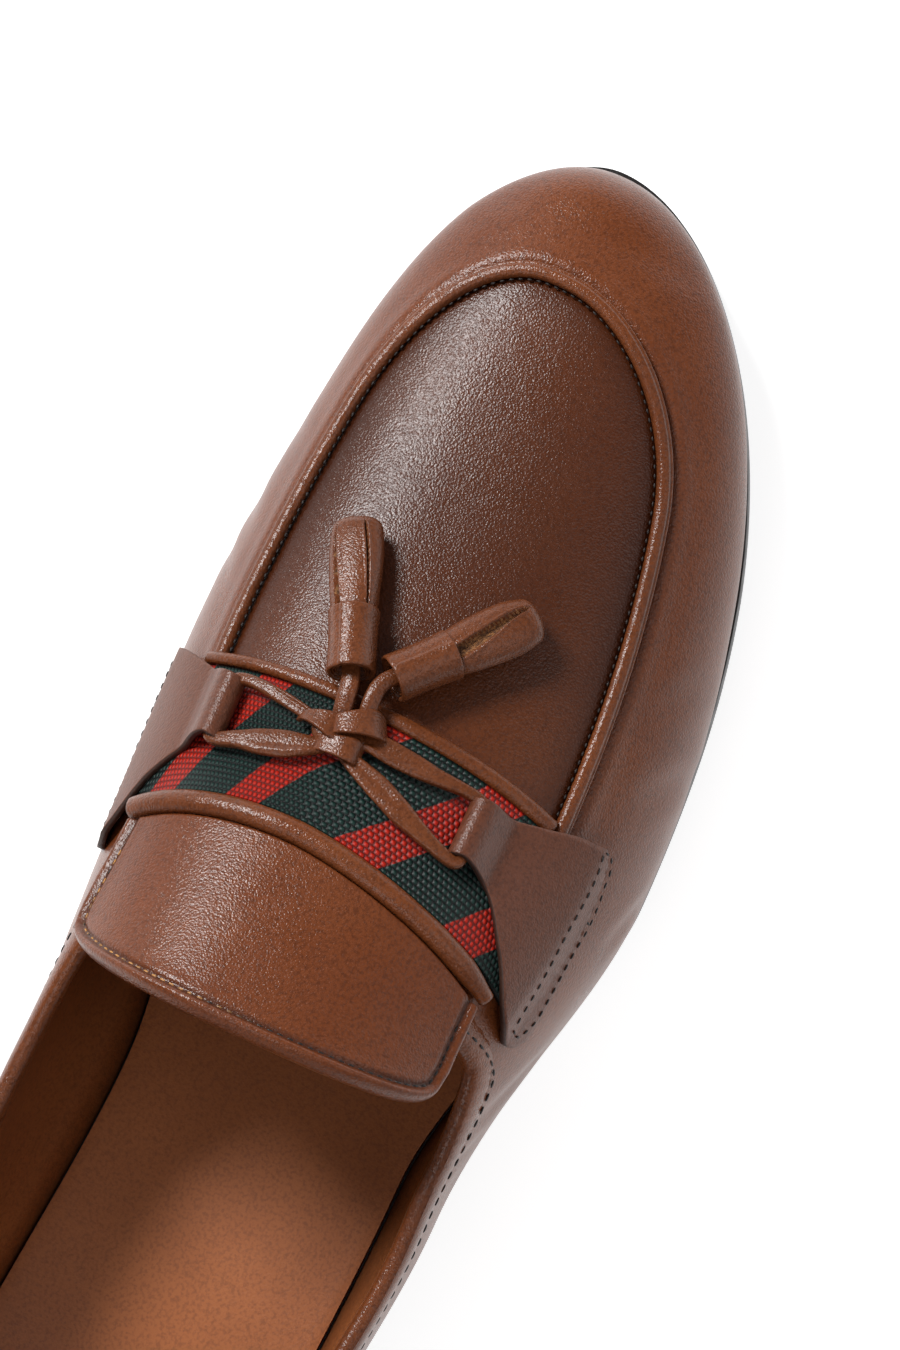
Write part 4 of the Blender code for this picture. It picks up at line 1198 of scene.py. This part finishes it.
def tab_spots(side, s, t):
    """Middle of a tab's leather: s from the sewn end (0) through the fold's curl (1), t from the
    rear edge to the front edge."""
    out_q = TAB_Q[side][0] + (TAB_Q[side][1] - TAB_Q[side][0]) * t
    reach = np.clip(1 - s / CURL_FROM, 0, 1)
    rear, front = (look_up(TAB_ROWS[side], TAB_COLUMNS, edge, reach, 1) * LENGTH
                   for edge in ("rear", "front"))
    x = rear + (front - rear) * t
    q = TUNNEL_Q[side] + (out_q - TUNNEL_Q[side]) * reach
    foot = skin(x, side * q)
    normal = skin_normal(x, side * q)
    inward = unit(skin(x, side * (q - INWARD_STEP)) - foot)
    flat = tab_lift(side, q)
    away = np.linalg.norm(foot - skin(x, side * TUNNEL_Q[side]), axis=-1)
    rise = (BORE_LIFT + TUNNEL - flat) * (1 - ease(away / TUNNEL_RISE))
    turn = (pi / 2 - (s - CURL_FROM) / (1 - CURL_FROM) * CURL)[:, None]
    curled = foot + normal * BORE_LIFT + TUNNEL * (np.cos(turn) * inward + np.sin(turn) * normal)
    return np.where((s < CURL_FROM)[:, None], foot + normal * (flat + rise)[:, None], curled)


def make_tab(side, end):
    bm = grid(70, 40, lambda s, t: tab_spots(side, s, t))
    bmesh.ops.recalc_face_normals(bm, faces=bm.faces)
    piece = add_piece("saddle_tab_" + end, bm, [TAB_CALF, CUT_EDGE], ["tab_" + end])
    thicken(piece, TAB, 0, rim=1)


# The stitched loops on the tabs: stations in millimetres and shares from the top line
RACETRACK = {
    LATERAL: [(184.4, 0.470), (178.8, 0.480), (168.5, 0.477), (157.3, 0.493), (152.5, 0.502),
              (149.8, 0.516), (149.3, 0.542), (152.5, 0.560), (157.5, 0.550), (165.0, 0.536),
              (171.8, 0.534), (178.6, 0.524), (182.8, 0.510), (184.6, 0.488), (184.4, 0.470)],
    MEDIAL: [(182.6, 0.500), (175.0, 0.505), (167.0, 0.512), (159.0, 0.532), (152.5, 0.552),
             (150.4, 0.566), (151.4, 0.578), (153.6, 0.582), (160.0, 0.570), (167.0, 0.556),
             (175.0, 0.540), (181.6, 0.524), (184.0, 0.511), (182.6, 0.500)],
}
# A short row of stitches across the lateral one
TICK = [(172.6, 0.512), (172.0, 0.526), (171.4, 0.542)]


def make_tab_stitches():
    rows = []
    for side, line in [(MEDIAL, RACETRACK[MEDIAL]), (LATERAL, RACETRACK[LATERAL]), (LATERAL, TICK)]:
        spots = rounded(np.array([(x, q, 0) for x, q in line]), 120)
        x, q = spots[:, 0] / 1000, spots[:, 1]
        points = skin(x, side * q, tab_lift(side, q) + TAB / 2 + THREAD_LIFT / 2)
        rows.append((points, skin_normal(x, side * q)))
    sew("tab_stitches", rows, DARK_THREAD, FINE_STITCH, TAB_PITCH)


# Thong

# Each loop's route (station and share, from the knot round the tab's tunnel and back) with its
# width in millimetres there
LOOP_ROWS = {
    MEDIAL: [(0.6110, 0.006, 2.0), (0.6152, 0.050, 2.3), (0.6180, 0.100, 2.5), (0.6195, 0.150, 2.5),
             (0.6198, 0.195, 2.3), (0.6175, 0.226, 2.2), (0.6110, 0.235, 2.2), (0.6000, 0.235, 2.2),
             (0.5890, 0.235, 2.2), (0.5822, 0.233, 2.6), (0.5815, 0.212, 3.4), (0.5862, 0.168, 4.9),
             (0.5914, 0.112, 5.3), (0.5968, 0.058, 4.2), (0.6030, 0.006, 2.4)],
    LATERAL: [(0.6120, 0.004, 2.4), (0.6156, 0.045, 3.6), (0.6144, 0.092, 4.5), (0.6130, 0.145, 4.1),
              (0.6125, 0.190, 3.0), (0.6105, 0.220, 2.3), (0.6050, 0.228, 2.2), (0.5960, 0.228, 2.2),
              (0.5850, 0.228, 2.2), (0.5765, 0.230, 2.6), (0.5722, 0.220, 3.4), (0.5766, 0.180, 4.5),
              (0.5848, 0.128, 4.6), (0.5940, 0.076, 3.8), (0.6040, 0.014, 2.4)],
}


# Where the strip is rolled up for the tunnel, the ridge and the groove along its open part (height,
# place and width of each) and its fine waves
BORE_FROM, BORE_RUN = 0.12, 0.08
LOOP_SQUARE = 0.6
LOOP_FOLD = (0.00035, 0.30, 0.14, 0.00040, 0.12, 0.07)
LOOP_WAVE = (0.00002, 420, 9)


def make_loop(side, end):
    """One loop of the thong, a folded strip from the knot through the tab's tunnel and back."""
    rows = np.array(LOOP_ROWS[side])
    near_bore = ease((rows[:, 1] - BORE_FROM) / BORE_RUN)
    lifts = LACE_LIFT + (BORE_LIFT - LACE_LIFT) * near_bore
    points = rounded(skin(rows[:, 0] * LENGTH, side * rows[:, 1], lifts), 240)
    share = rounded(np.stack([rows[:, 0], rows[:, 1], near_bore], -1), 240)
    x, q = share[:, 0] * LENGTH, side * share[:, 1]
    steps = np.linspace(0, 1, len(rows))
    up, up_at, up_wide, down, down_at, down_wide = LOOP_FOLD
    wave, wave_run, wave_lean = LOOP_WAVE

    def outline(s, v):
        width = smooth(s, steps, rows[:, 2]) / 1000
        tight = np.clip(smooth(s, steps, near_bore), 0, 1)
        wide, high = ring(v, width, LACE + (LACE_ROUND - LACE) * tight, LOOP_SQUARE)
        off = wide / width
        fold = up * hump(off - up_at, up_wide) - down * hump(off - down_at, down_wide)
        fold += wave * np.sin(s * wave_run + off * wave_lean)
        return wide, high + fold * (1 - tight) * (high > 0)
    bm = sweep(points, skin_normal(x, q), outline, 40)
    add_piece("thong_loop_" + end, bm, THONG_CALF, ["thong_" + end])


def knot_axes():
    x, q = KNOT_AT[0] * LENGTH, KNOT_AT[1]
    up = skin_normal(x, q)
    forward = unit(np.cross(np.array([0, 1.0, 0]), up))
    return skin(x, q, KNOT_LIFT), forward, np.cross(up, forward), up


# The knot's wraps in millimetres: the points of each band's middle line in the knot's own measure
# (towards the toe, towards the medial side, up), and its widths
WRAPS = {
    "left": ([(1.6, 7.0, -1.4), (1.7, 6.0, 0.4), (1.8, 4.4, 1.4), (1.8, 2.4, 1.9), (1.7, 0.4, 1.7),
              (1.6, -1.2, 0.8)], (1.6, 1.9, 2.9, 4.0, 4.9, 4.9)),
    "under": ([(-1.8, 2.4, -1.0), (-1.7, 1.2, 0.5), (-1.5, -0.8, 1.2), (-1.2, -2.8, 1.4),
               (-0.9, -4.7, 0.9), (-0.7, -5.8, -0.9)], (2.6, 3.1, 3.6, 4.2, 4.7, 4.2)),
    "over": ([(1.2, 1.8, -1.2), (1.7, 0.9, 0.8), (2.3, -0.3, 2.1), (3.2, -2.2, 2.7), (4.2, -4.2, 2.6),
              (5.1, -6.0, 1.7), (5.7, -7.2, -0.4), (5.9, -7.5, -1.8)],
             (3.2, 3.5, 3.8, 4.4, 5.0, 5.6, 5.4, 4.6)),
}
# The bands' thickness and section, the point below that they turn about, the bead along their
# edges (height, place and width), and the core's place and radii
WRAP, WRAP_SQUARE = 0.0009, 0.5
WRAP_ROOT = (0.7, 0.5, -5.0)
WRAP_BEAD = (0.00012, 0.44, 0.07)
CORE_AT = (1.2, -0.8, -0.4)
CORE_SIZE = (0.0036, 0.0050, 0.0018)


def make_knot():
    """The knot: a core with the thong's bands crossing over it."""
    centre, forward, across, up = knot_axes()
    bead, bead_at, bead_wide = WRAP_BEAD

    def spot(a, b, c):
        return centre + (a * forward + b * across + c * up) / 1000

    bm = bmesh.new()
    for path, widths in WRAPS.values():
        points = rounded([spot(*p) for p in path], 40)
        root = spot(path[2][0] * WRAP_ROOT[0], path[2][1] * WRAP_ROOT[1], WRAP_ROOT[2])
        normals = unit(points - root)

        def outline(s, v, widths=widths):
            width = np.interp(s, np.linspace(0, 1, len(widths)), widths) / 1000
            wide, high = ring(v, width, WRAP, WRAP_SQUARE)
            return wide, high + bead * (high > 0) * hump(np.abs(wide / width) - bead_at, bead_wide)
        join_into(bm, sweep(points, normals, outline, 24))
    axes = (axis * size for axis, size in zip((forward, across, up), CORE_SIZE))
    bmesh.ops.create_uvsphere(bm, u_segments=24, v_segments=16, radius=1,
                              matrix=frame_matrix(*axes, laid(spot(*CORE_AT))))
    add_piece("thong_knot_wraps", bm, THONG_CALF, ["thong_knot"])


# Tassels

def tassel_axes(name):
    (x0, q0, lift0), (x1, q1, lift1) = TASSELS[name]
    base, tip = skin(x0 * LENGTH, q0, lift0), skin(x1 * LENGTH, q1, lift1)
    reach = np.linalg.norm(tip - base)
    axis = (tip - base) / reach
    across = unit(np.cross(axis, [0, 0, 1.0]))
    return base, axis, across, np.cross(across, axis), reach


# The head's rolled band: run from the base and radius in millimetres, from the layers that show in
# its hollow base round to the inside of its far rim
HEAD_PROFILE = [(1.6, 2.2), (1.0, 2.7), (0.5, 2.9), (1.0, 3.1), (0.35, 3.4), (0.8, 3.6), (0.15, 3.9),
                (0.0, 4.2), (0.25, 4.45), (1.2, 4.50), (5.0, 4.40), (9.0, 4.50), (11.4, 4.70),
                (11.9, 4.62), (12.0, 4.30), (11.7, 3.80)]

# Skirts: the share of the way to the tip, with the half width and half height in millimetres there
SKIRTS = {
    "tassel_front": [(0.00, 3.9, 3.6), (0.30, 4.5, 3.4), (0.65, 4.9, 3.1), (0.90, 4.5, 2.6),
                     (1.00, 4.2, 2.3)],
    "tassel_lateral": [(0.00, 3.9, 3.6), (0.30, 4.7, 3.5), (0.65, 5.0, 3.1), (0.90, 4.2, 2.5),
                       (1.00, 3.7, 2.1)],
}

# Slits between the strips: their bearings round the skirt in degrees at the head and at the tip,
# from the right over the top, and their widths in millimetres at both
SLITS = {
    "tassel_front": [(46, 72, 0.55, 0.40), (121, 137, 1.50, 0.35), (196, 192, 0.7, 0.5),
                     (262, 258, 0.7, 0.5), (330, 326, 0.7, 0.5)],
    "tassel_lateral": [(14, 20, 0.9, 0.8), (78, 122, 2.30, 0.80), (186, 184, 0.7, 0.6),
                       (255, 250, 0.7, 0.5), (318, 320, 0.7, 0.5)],
}
# How far each strip stands proud and its edges rise, in millimetres, and where that fades
STRIP_RISE = (0.0, 0.30, 0.05, 0.25, 0.1, 0.2)
EDGE_RISE = (0.10, 0.30, 0.22)
RISE_RUN, RISE_END = 0.15, 0.97
# Where the skirt starts and closes, its section, its slits' ends and depth, and the head's flap
SKIRT_FROM = 0.0105
CAP_FROM, CAP_AT, CAP_ROUND = 0.84, 0.90, 0.75
SLIT_END, SLIT_FADE, SLIT_SOFT, SLIT_DEEP = 0.93, 0.06, 0.08, 0.42
SLIT_TAPER, SUEDE_FROM = 0.8, 0.35
SKIRT_SQUARE, SKIRT_RADIUS = 0.88, 4.3
FLAP, FLAP_AT, FLAP_FROM = 0.00035, 1.9, 0.0040
HEAD_SUNK = 0.0002


def make_skirt(name, at_section, reach):
    """The skirt: a flattened sleeve slit into strips, which fold back on themselves at its tip."""
    table = np.array(SKIRTS[name])
    slits = np.array(SLITS[name], float)

    def shape(u, v):
        """Share of the way, section scale, slit depth and strip rise at (u, v)."""
        turn_in = np.clip((u - CAP_FROM) / (1 - CAP_FROM), 0, 1) * pi / 2
        along = np.where(u < CAP_FROM, u / CAP_FROM * CAP_AT, CAP_AT + (1 - CAP_AT) * np.sin(turn_in))
        turn = v * 2 * pi
        deep, rise, edge = np.zeros_like(u), np.full_like(u, STRIP_RISE[0]), np.zeros_like(u)
        for k, (head_turn, tip_turn, head_wide, tip_wide) in enumerate(slits):
            off = turn - np.radians(head_turn + (tip_turn - head_turn) * along)
            half = (head_wide + (tip_wide - head_wide) * along ** SLIT_TAPER) / 2
            half = half * ease((SLIT_END - along) / SLIT_FADE)
            away = np.abs(np.angle(np.exp(1j * off))) * SKIRT_RADIUS - half
            deep = np.maximum(deep, 1 - ease((away + SLIT_SOFT) / (2 * SLIT_SOFT)))
            edge = np.maximum(edge, hump(away - EDGE_RISE[1], EDGE_RISE[2]))
            rise = np.where(off > 0, STRIP_RISE[(k + 1) % len(slits)], rise)
        fade = ease(along / RISE_RUN) * ease((RISE_END - along) / RISE_RUN)
        deep = deep * (along < SLIT_END - 0.005)
        return along, np.abs(np.cos(turn_in)) ** CAP_ROUND, deep, (rise + EDGE_RISE[0] * edge) * fade

    def place(u, v):
        along, cap, deep, rise = shape(u, v)
        scale = cap * (1 - SLIT_DEEP * deep) / 500
        wide, high = (smooth(along, table[:, 0], table[:, i]) + rise for i in (1, 2))
        across, up = ring(v, wide * scale, high * scale, SKIRT_SQUARE)
        return at_section(SKIRT_FROM + along * (reach - SKIRT_FROM), across, up)

    bm = grid(110, 230, place, lambda u, v: shape(u, v)[2] > SUEDE_FROM)
    close_up(bm)
    return bm


def make_tassel(name):
    """A tassel: a band of leather rolled into its head, and a skirt slit into strips."""
    base, axis, across, up, reach = tassel_axes(name)

    def at_section(run, side, height):
        return base + run[:, None] * axis + side[:, None] * across + height[:, None] * up
    profile = rounded(np.array([(a, r, 0) for a, r in HEAD_PROFILE]), 90) / 1000

    def head(u, v):
        i = np.rint(u * 89).astype(int)
        turn = v * 2 * pi
        flap = FLAP * ((turn - FLAP_AT) % (2 * pi)) / (2 * pi) * (profile[i, 1] > FLAP_FROM)
        radius = profile[i, 1] - HEAD_SUNK + flap
        return at_section(profile[i, 0], radius * np.cos(turn), radius * np.sin(turn))
    bm = grid(89, 96, head)
    bmesh.ops.remove_doubles(bm, verts=bm.verts, dist=MERGE)
    bmesh.ops.recalc_face_normals(bm, faces=bm.faces)
    join_into(bm, make_skirt(name, at_section, reach))
    return add_piece(name + "_leather", bm, [THONG_CALF, RAW_SUEDE], [name])


# Stems: their length down to the core of the skirt, where each leaves the knot (station, share),
# its width and thickness, how far it bows to the lateral side and the fold along it
STEM_LENGTH = 0.0320
STEM_ROOTS = {"tassel_front": (0.6180, 0.000), "tassel_lateral": (0.6200, -0.028)}
STEM_SIZE = {"tassel_front": (0.0034, 0.0016), "tassel_lateral": (0.0031, 0.0019)}
STEM_BOW = {"tassel_front": 0.0, "tassel_lateral": 0.0010}
STEM_RISE, STEM_NEAR = 0.0004, 0.0015
STEM_INSIDE = (0.004, 0.010)
STEM_SQUARE = 0.7
STEM_FOLD = (0.00035, -0.05, 0.09)


def make_stem(name, tassel):
    """A free end of the thong, from the knot into the tassel's head."""
    base, axis, across, up, reach = tassel_axes(name)
    x, q = STEM_ROOTS[name]
    start = skin(x * LENGTH, q, KNOT_LIFT - STEM_RISE)
    near = base - axis * STEM_NEAR
    bend = (start + near) / 2 + up * STEM_RISE - across * STEM_BOW[name]
    end = STEM_LENGTH - np.linalg.norm(near - start)
    inside = [base + axis * run for run in STEM_INSIDE]
    points = rounded([start, bend, near, *inside, near + axis * end], 80)
    length = arc_lengths(points)[-1]
    width, thick = STEM_SIZE[name]
    fold, fold_at, fold_wide = STEM_FOLD

    def outline(s, v):
        wide, high = ring(v, width, thick, STEM_SQUARE)
        return wide, high + fold * hump(wide / width - fold_at, fold_wide) * (high > 0)
    bm = sweep(points, np.tile(up, (80, 1)), outline, 24)
    node = name.replace("tassel", "stem")
    piece = add_piece(node + "_thong", bm, THONG_CALF, [node])
    laid(start).tolist()
    laid(points).tolist()


# Sole, heel and sock

def slab(name, stations, rows, outline, top, under, finish, nodes):
    """A flat piece between two height functions; its outline gives y on each side at x."""
    def place(u, v):
        x = np.interp(u, np.linspace(0, 1, len(stations)), stations)
        y = outline(x, LATERAL) + (outline(x, MEDIAL) - outline(x, LATERAL)) * v
        return np.stack([x, y, top(x, v)], -1)
    bm = grid(len(stations) - 1, rows, place)
    bmesh.ops.remove_doubles(bm, verts=bm.verts, dist=MERGE)
    lower = bmesh.ops.extrude_face_region(bm, geom=bm.faces[:])["geom"]
    for vertex in (g for g in lower if isinstance(g, bmesh.types.BMVert)):
        vertex.co.z = under(vertex.co.x + ORIGIN[0])
    close_up(bm)
    return add_piece(name, bm, finish, nodes)


def fine_stations(back, tip):
    arch = np.linspace(HEEL_X, TREAD_X, 70)[1:]
    toe = SPRING_X + (tip - SPRING_X) * np.sin(np.linspace(0, pi / 2, 60))
    tread = np.linspace(TREAD_X, SPRING_X, 12)[1:-1]
    return np.concatenate([round_heel(back), arch, tread, toe])


# How far the sole is trimmed back at its sides, the heel's lifts and the rounded edges
SOLE_TRIM = 0.0004
HEEL_LIFTS, HEEL_INSET = 4, 0.0004
SOLE_SOFT, LIFT_SOFT = 0.0007, 0.0004
SOCK_SLACK, SOCK_DISH, DISH_ROUND = 0.0002, 0.0007, 0.7


def make_soles():
    sole = slab("outsole_slab", fine_stations(0.0, LENGTH), 24,
                sole_line((HEEL_EDGE, SIDE_EDGE - SOLE_TRIM, TOE_EDGE)), lambda x, v: seat_height(x),
                lambda x: seat_height(x) - SOLE, SOLE_RUBBER, ["outsole"])
    soften(sole, SOLE_SOFT)
    stations = np.concatenate([round_heel(BACK_X), np.linspace(HEEL_X, BREAST_X, 24)[1:]])

    def level(x, share):
        return (seat_height(x) - SOLE - GAP) * share
    for k in range(HEEL_LIFTS):
        step = 0.0 if k else -HEEL_INSET
        layer = slab(f"heel_layer_{k + 1}", stations, 16, sole_line((step, SIDE_EDGE + step, TOE_EDGE)),
                     lambda x, v, k=k: level(x, (k + 1) / HEEL_LIFTS),
                     lambda x, k=k: level(x, k / HEEL_LIFTS), SOLE_RUBBER, ["heel"])
        soften(layer, LIFT_SOFT, 2)


def make_sock():
    inset = -(WALL + SOCK_SLACK)

    def top(x, v):
        return seat_height(x) + GAP + INSOLE - SOCK_DISH * np.sin(pi * np.clip(v, 0, 1)) ** DISH_ROUND
    sock = slab("insole_sock", fine_stations(BACK_X - inset, TOE_X + inset), 24,
                sole_line((inset, inset, inset)), top, lambda x: seat_height(x) + GAP,
                SOCK_CALF, ["insole"])
    soften(sock, SOLE_SOFT)


# Studio

# Lamps: bearing from the toe to the medial side and elevation in degrees, distance, size and watts
LAMPS = {
    "key": (56, 46, 1.3, (0.44, 0.34), 20),
    "back": (172, 62, 1.3, (0.6, 0.6), 3),
    "fill": (-75, 50, 1.3, (0.8, 0.8), 2.5),
}
LAMP_AIM = (0.05, 0, 0.05)

# The sky from the horizon's underside up, and the floor's paper and its own light
SKY = [(0.0, (0.8, 0.8, 0.8, 1)), (0.18, (0.7, 0.7, 0.7, 1)), (0.40, (0.16, 0.16, 0.17, 1)),
       (1.0, (0.10, 0.10, 0.105, 1))]
PAPER = (0.60, 0.60, 0.60, 1.0)
PAPER_GLOW = 0.80
FLOOR_DOWN = 0.0002


def make_camera():
    aim = laid(AIM)
    away = unit(np.array([sin(LEAN_TOE), -sin(LEAN_LATERAL), 1.0]))
    right = unit(np.cross(-away, [1.0, 0, 0]))
    up = np.cross(right, -away)
    rolled_right = right * cos(ROLL) + up * sin(ROLL)
    rolled_up = up * cos(ROLL) - right * sin(ROLL)
    data = bpy.data.cameras.new("camera")
    data.sensor_fit = "VERTICAL"
    data.sensor_height = SENSOR
    data.lens = FOCAL_PIXELS * SENSOR / PICTURE_HEIGHT
    data.clip_start, data.clip_end = 0.01, 20
    camera = new_object("camera", data)
    camera.matrix_world = frame_matrix(rolled_right, rolled_up, away, aim + away * CAMERA_AWAY)
    bpy.context.scene.camera = camera


def softbox(name, bearing, elevation, away, size, power):
    """A soft lamp that faces the vamp."""
    data = bpy.data.lights.new(name, "AREA")
    data.shape = "RECTANGLE"
    data.size, data.size_y = size
    data.energy = power
    lamp = new_object(name, data)
    aim = Vector(LAMP_AIM)
    turn, climb = radians(bearing), radians(elevation)
    lamp.location = aim + away * Vector((cos(climb) * cos(turn), cos(climb) * sin(turn), sin(climb)))
    lamp.rotation_euler = (aim - lamp.location).to_track_quat("-Z", "Y").to_euler()


def make_floor():
    bm = bmesh.new()
    bmesh.ops.create_grid(bm, x_segments=2, y_segments=2, size=3.0)
    mesh = bpy.data.meshes.new("floor")
    bm.to_mesh(mesh)
    bm.free()
    floor = new_object("floor", mesh)
    floor.location.z = -FLOOR_DOWN
    paper = make_finish("floor_paper", PAPER, 0.9, specular=0.0)
    shader = paper.node_tree.nodes["Principled BSDF"]
    shader.inputs["Emission Color"].default_value = (1.0, 1.0, 1.0, 1.0)
    shader.inputs["Emission Strength"].default_value = PAPER_GLOW
    mesh.materials.append(paper)


def make_world():
    world = bpy.data.worlds.new("studio")
    bpy.context.scene.world = world
    world.use_nodes = True
    finish = Finish(world.node_tree)
    height = finish.node("SeparateXYZ", {}, finish.node("TexCoord", {}, out="Generated"), out=2)
    background = world.node_tree.nodes["Background"]
    finish.feed(background.inputs["Color"], finish.node("ValToRGB", {"stops": SKY}, height))
    background.inputs["Strength"].default_value = 1.0


def set_picture():
    """Plain colours: the picture's tones aren't rolled off."""
    view = bpy.context.scene.view_settings
    view.view_transform = "Standard"
    view.look = "None"
    view.exposure = 0.0


set_picture()
make_camera()
make_world()
make_floor()
for lamp_name, lamp_setting in LAMPS.items():
    softbox(lamp_name, *lamp_setting)
make_knot()
for tassel_name in TASSELS:
    make_stem(tassel_name, make_tassel(tassel_name))
make_loop(MEDIAL, "medial")
make_loop(LATERAL, "lateral")
make_upper()
make_piping()
make_collar()
make_band()
make_bindings()
make_tongue()
make_tongue_stitches()
make_tab(MEDIAL, "medial")
make_tab(LATERAL, "lateral")
make_tab_stitches()
make_soles()
make_sock()
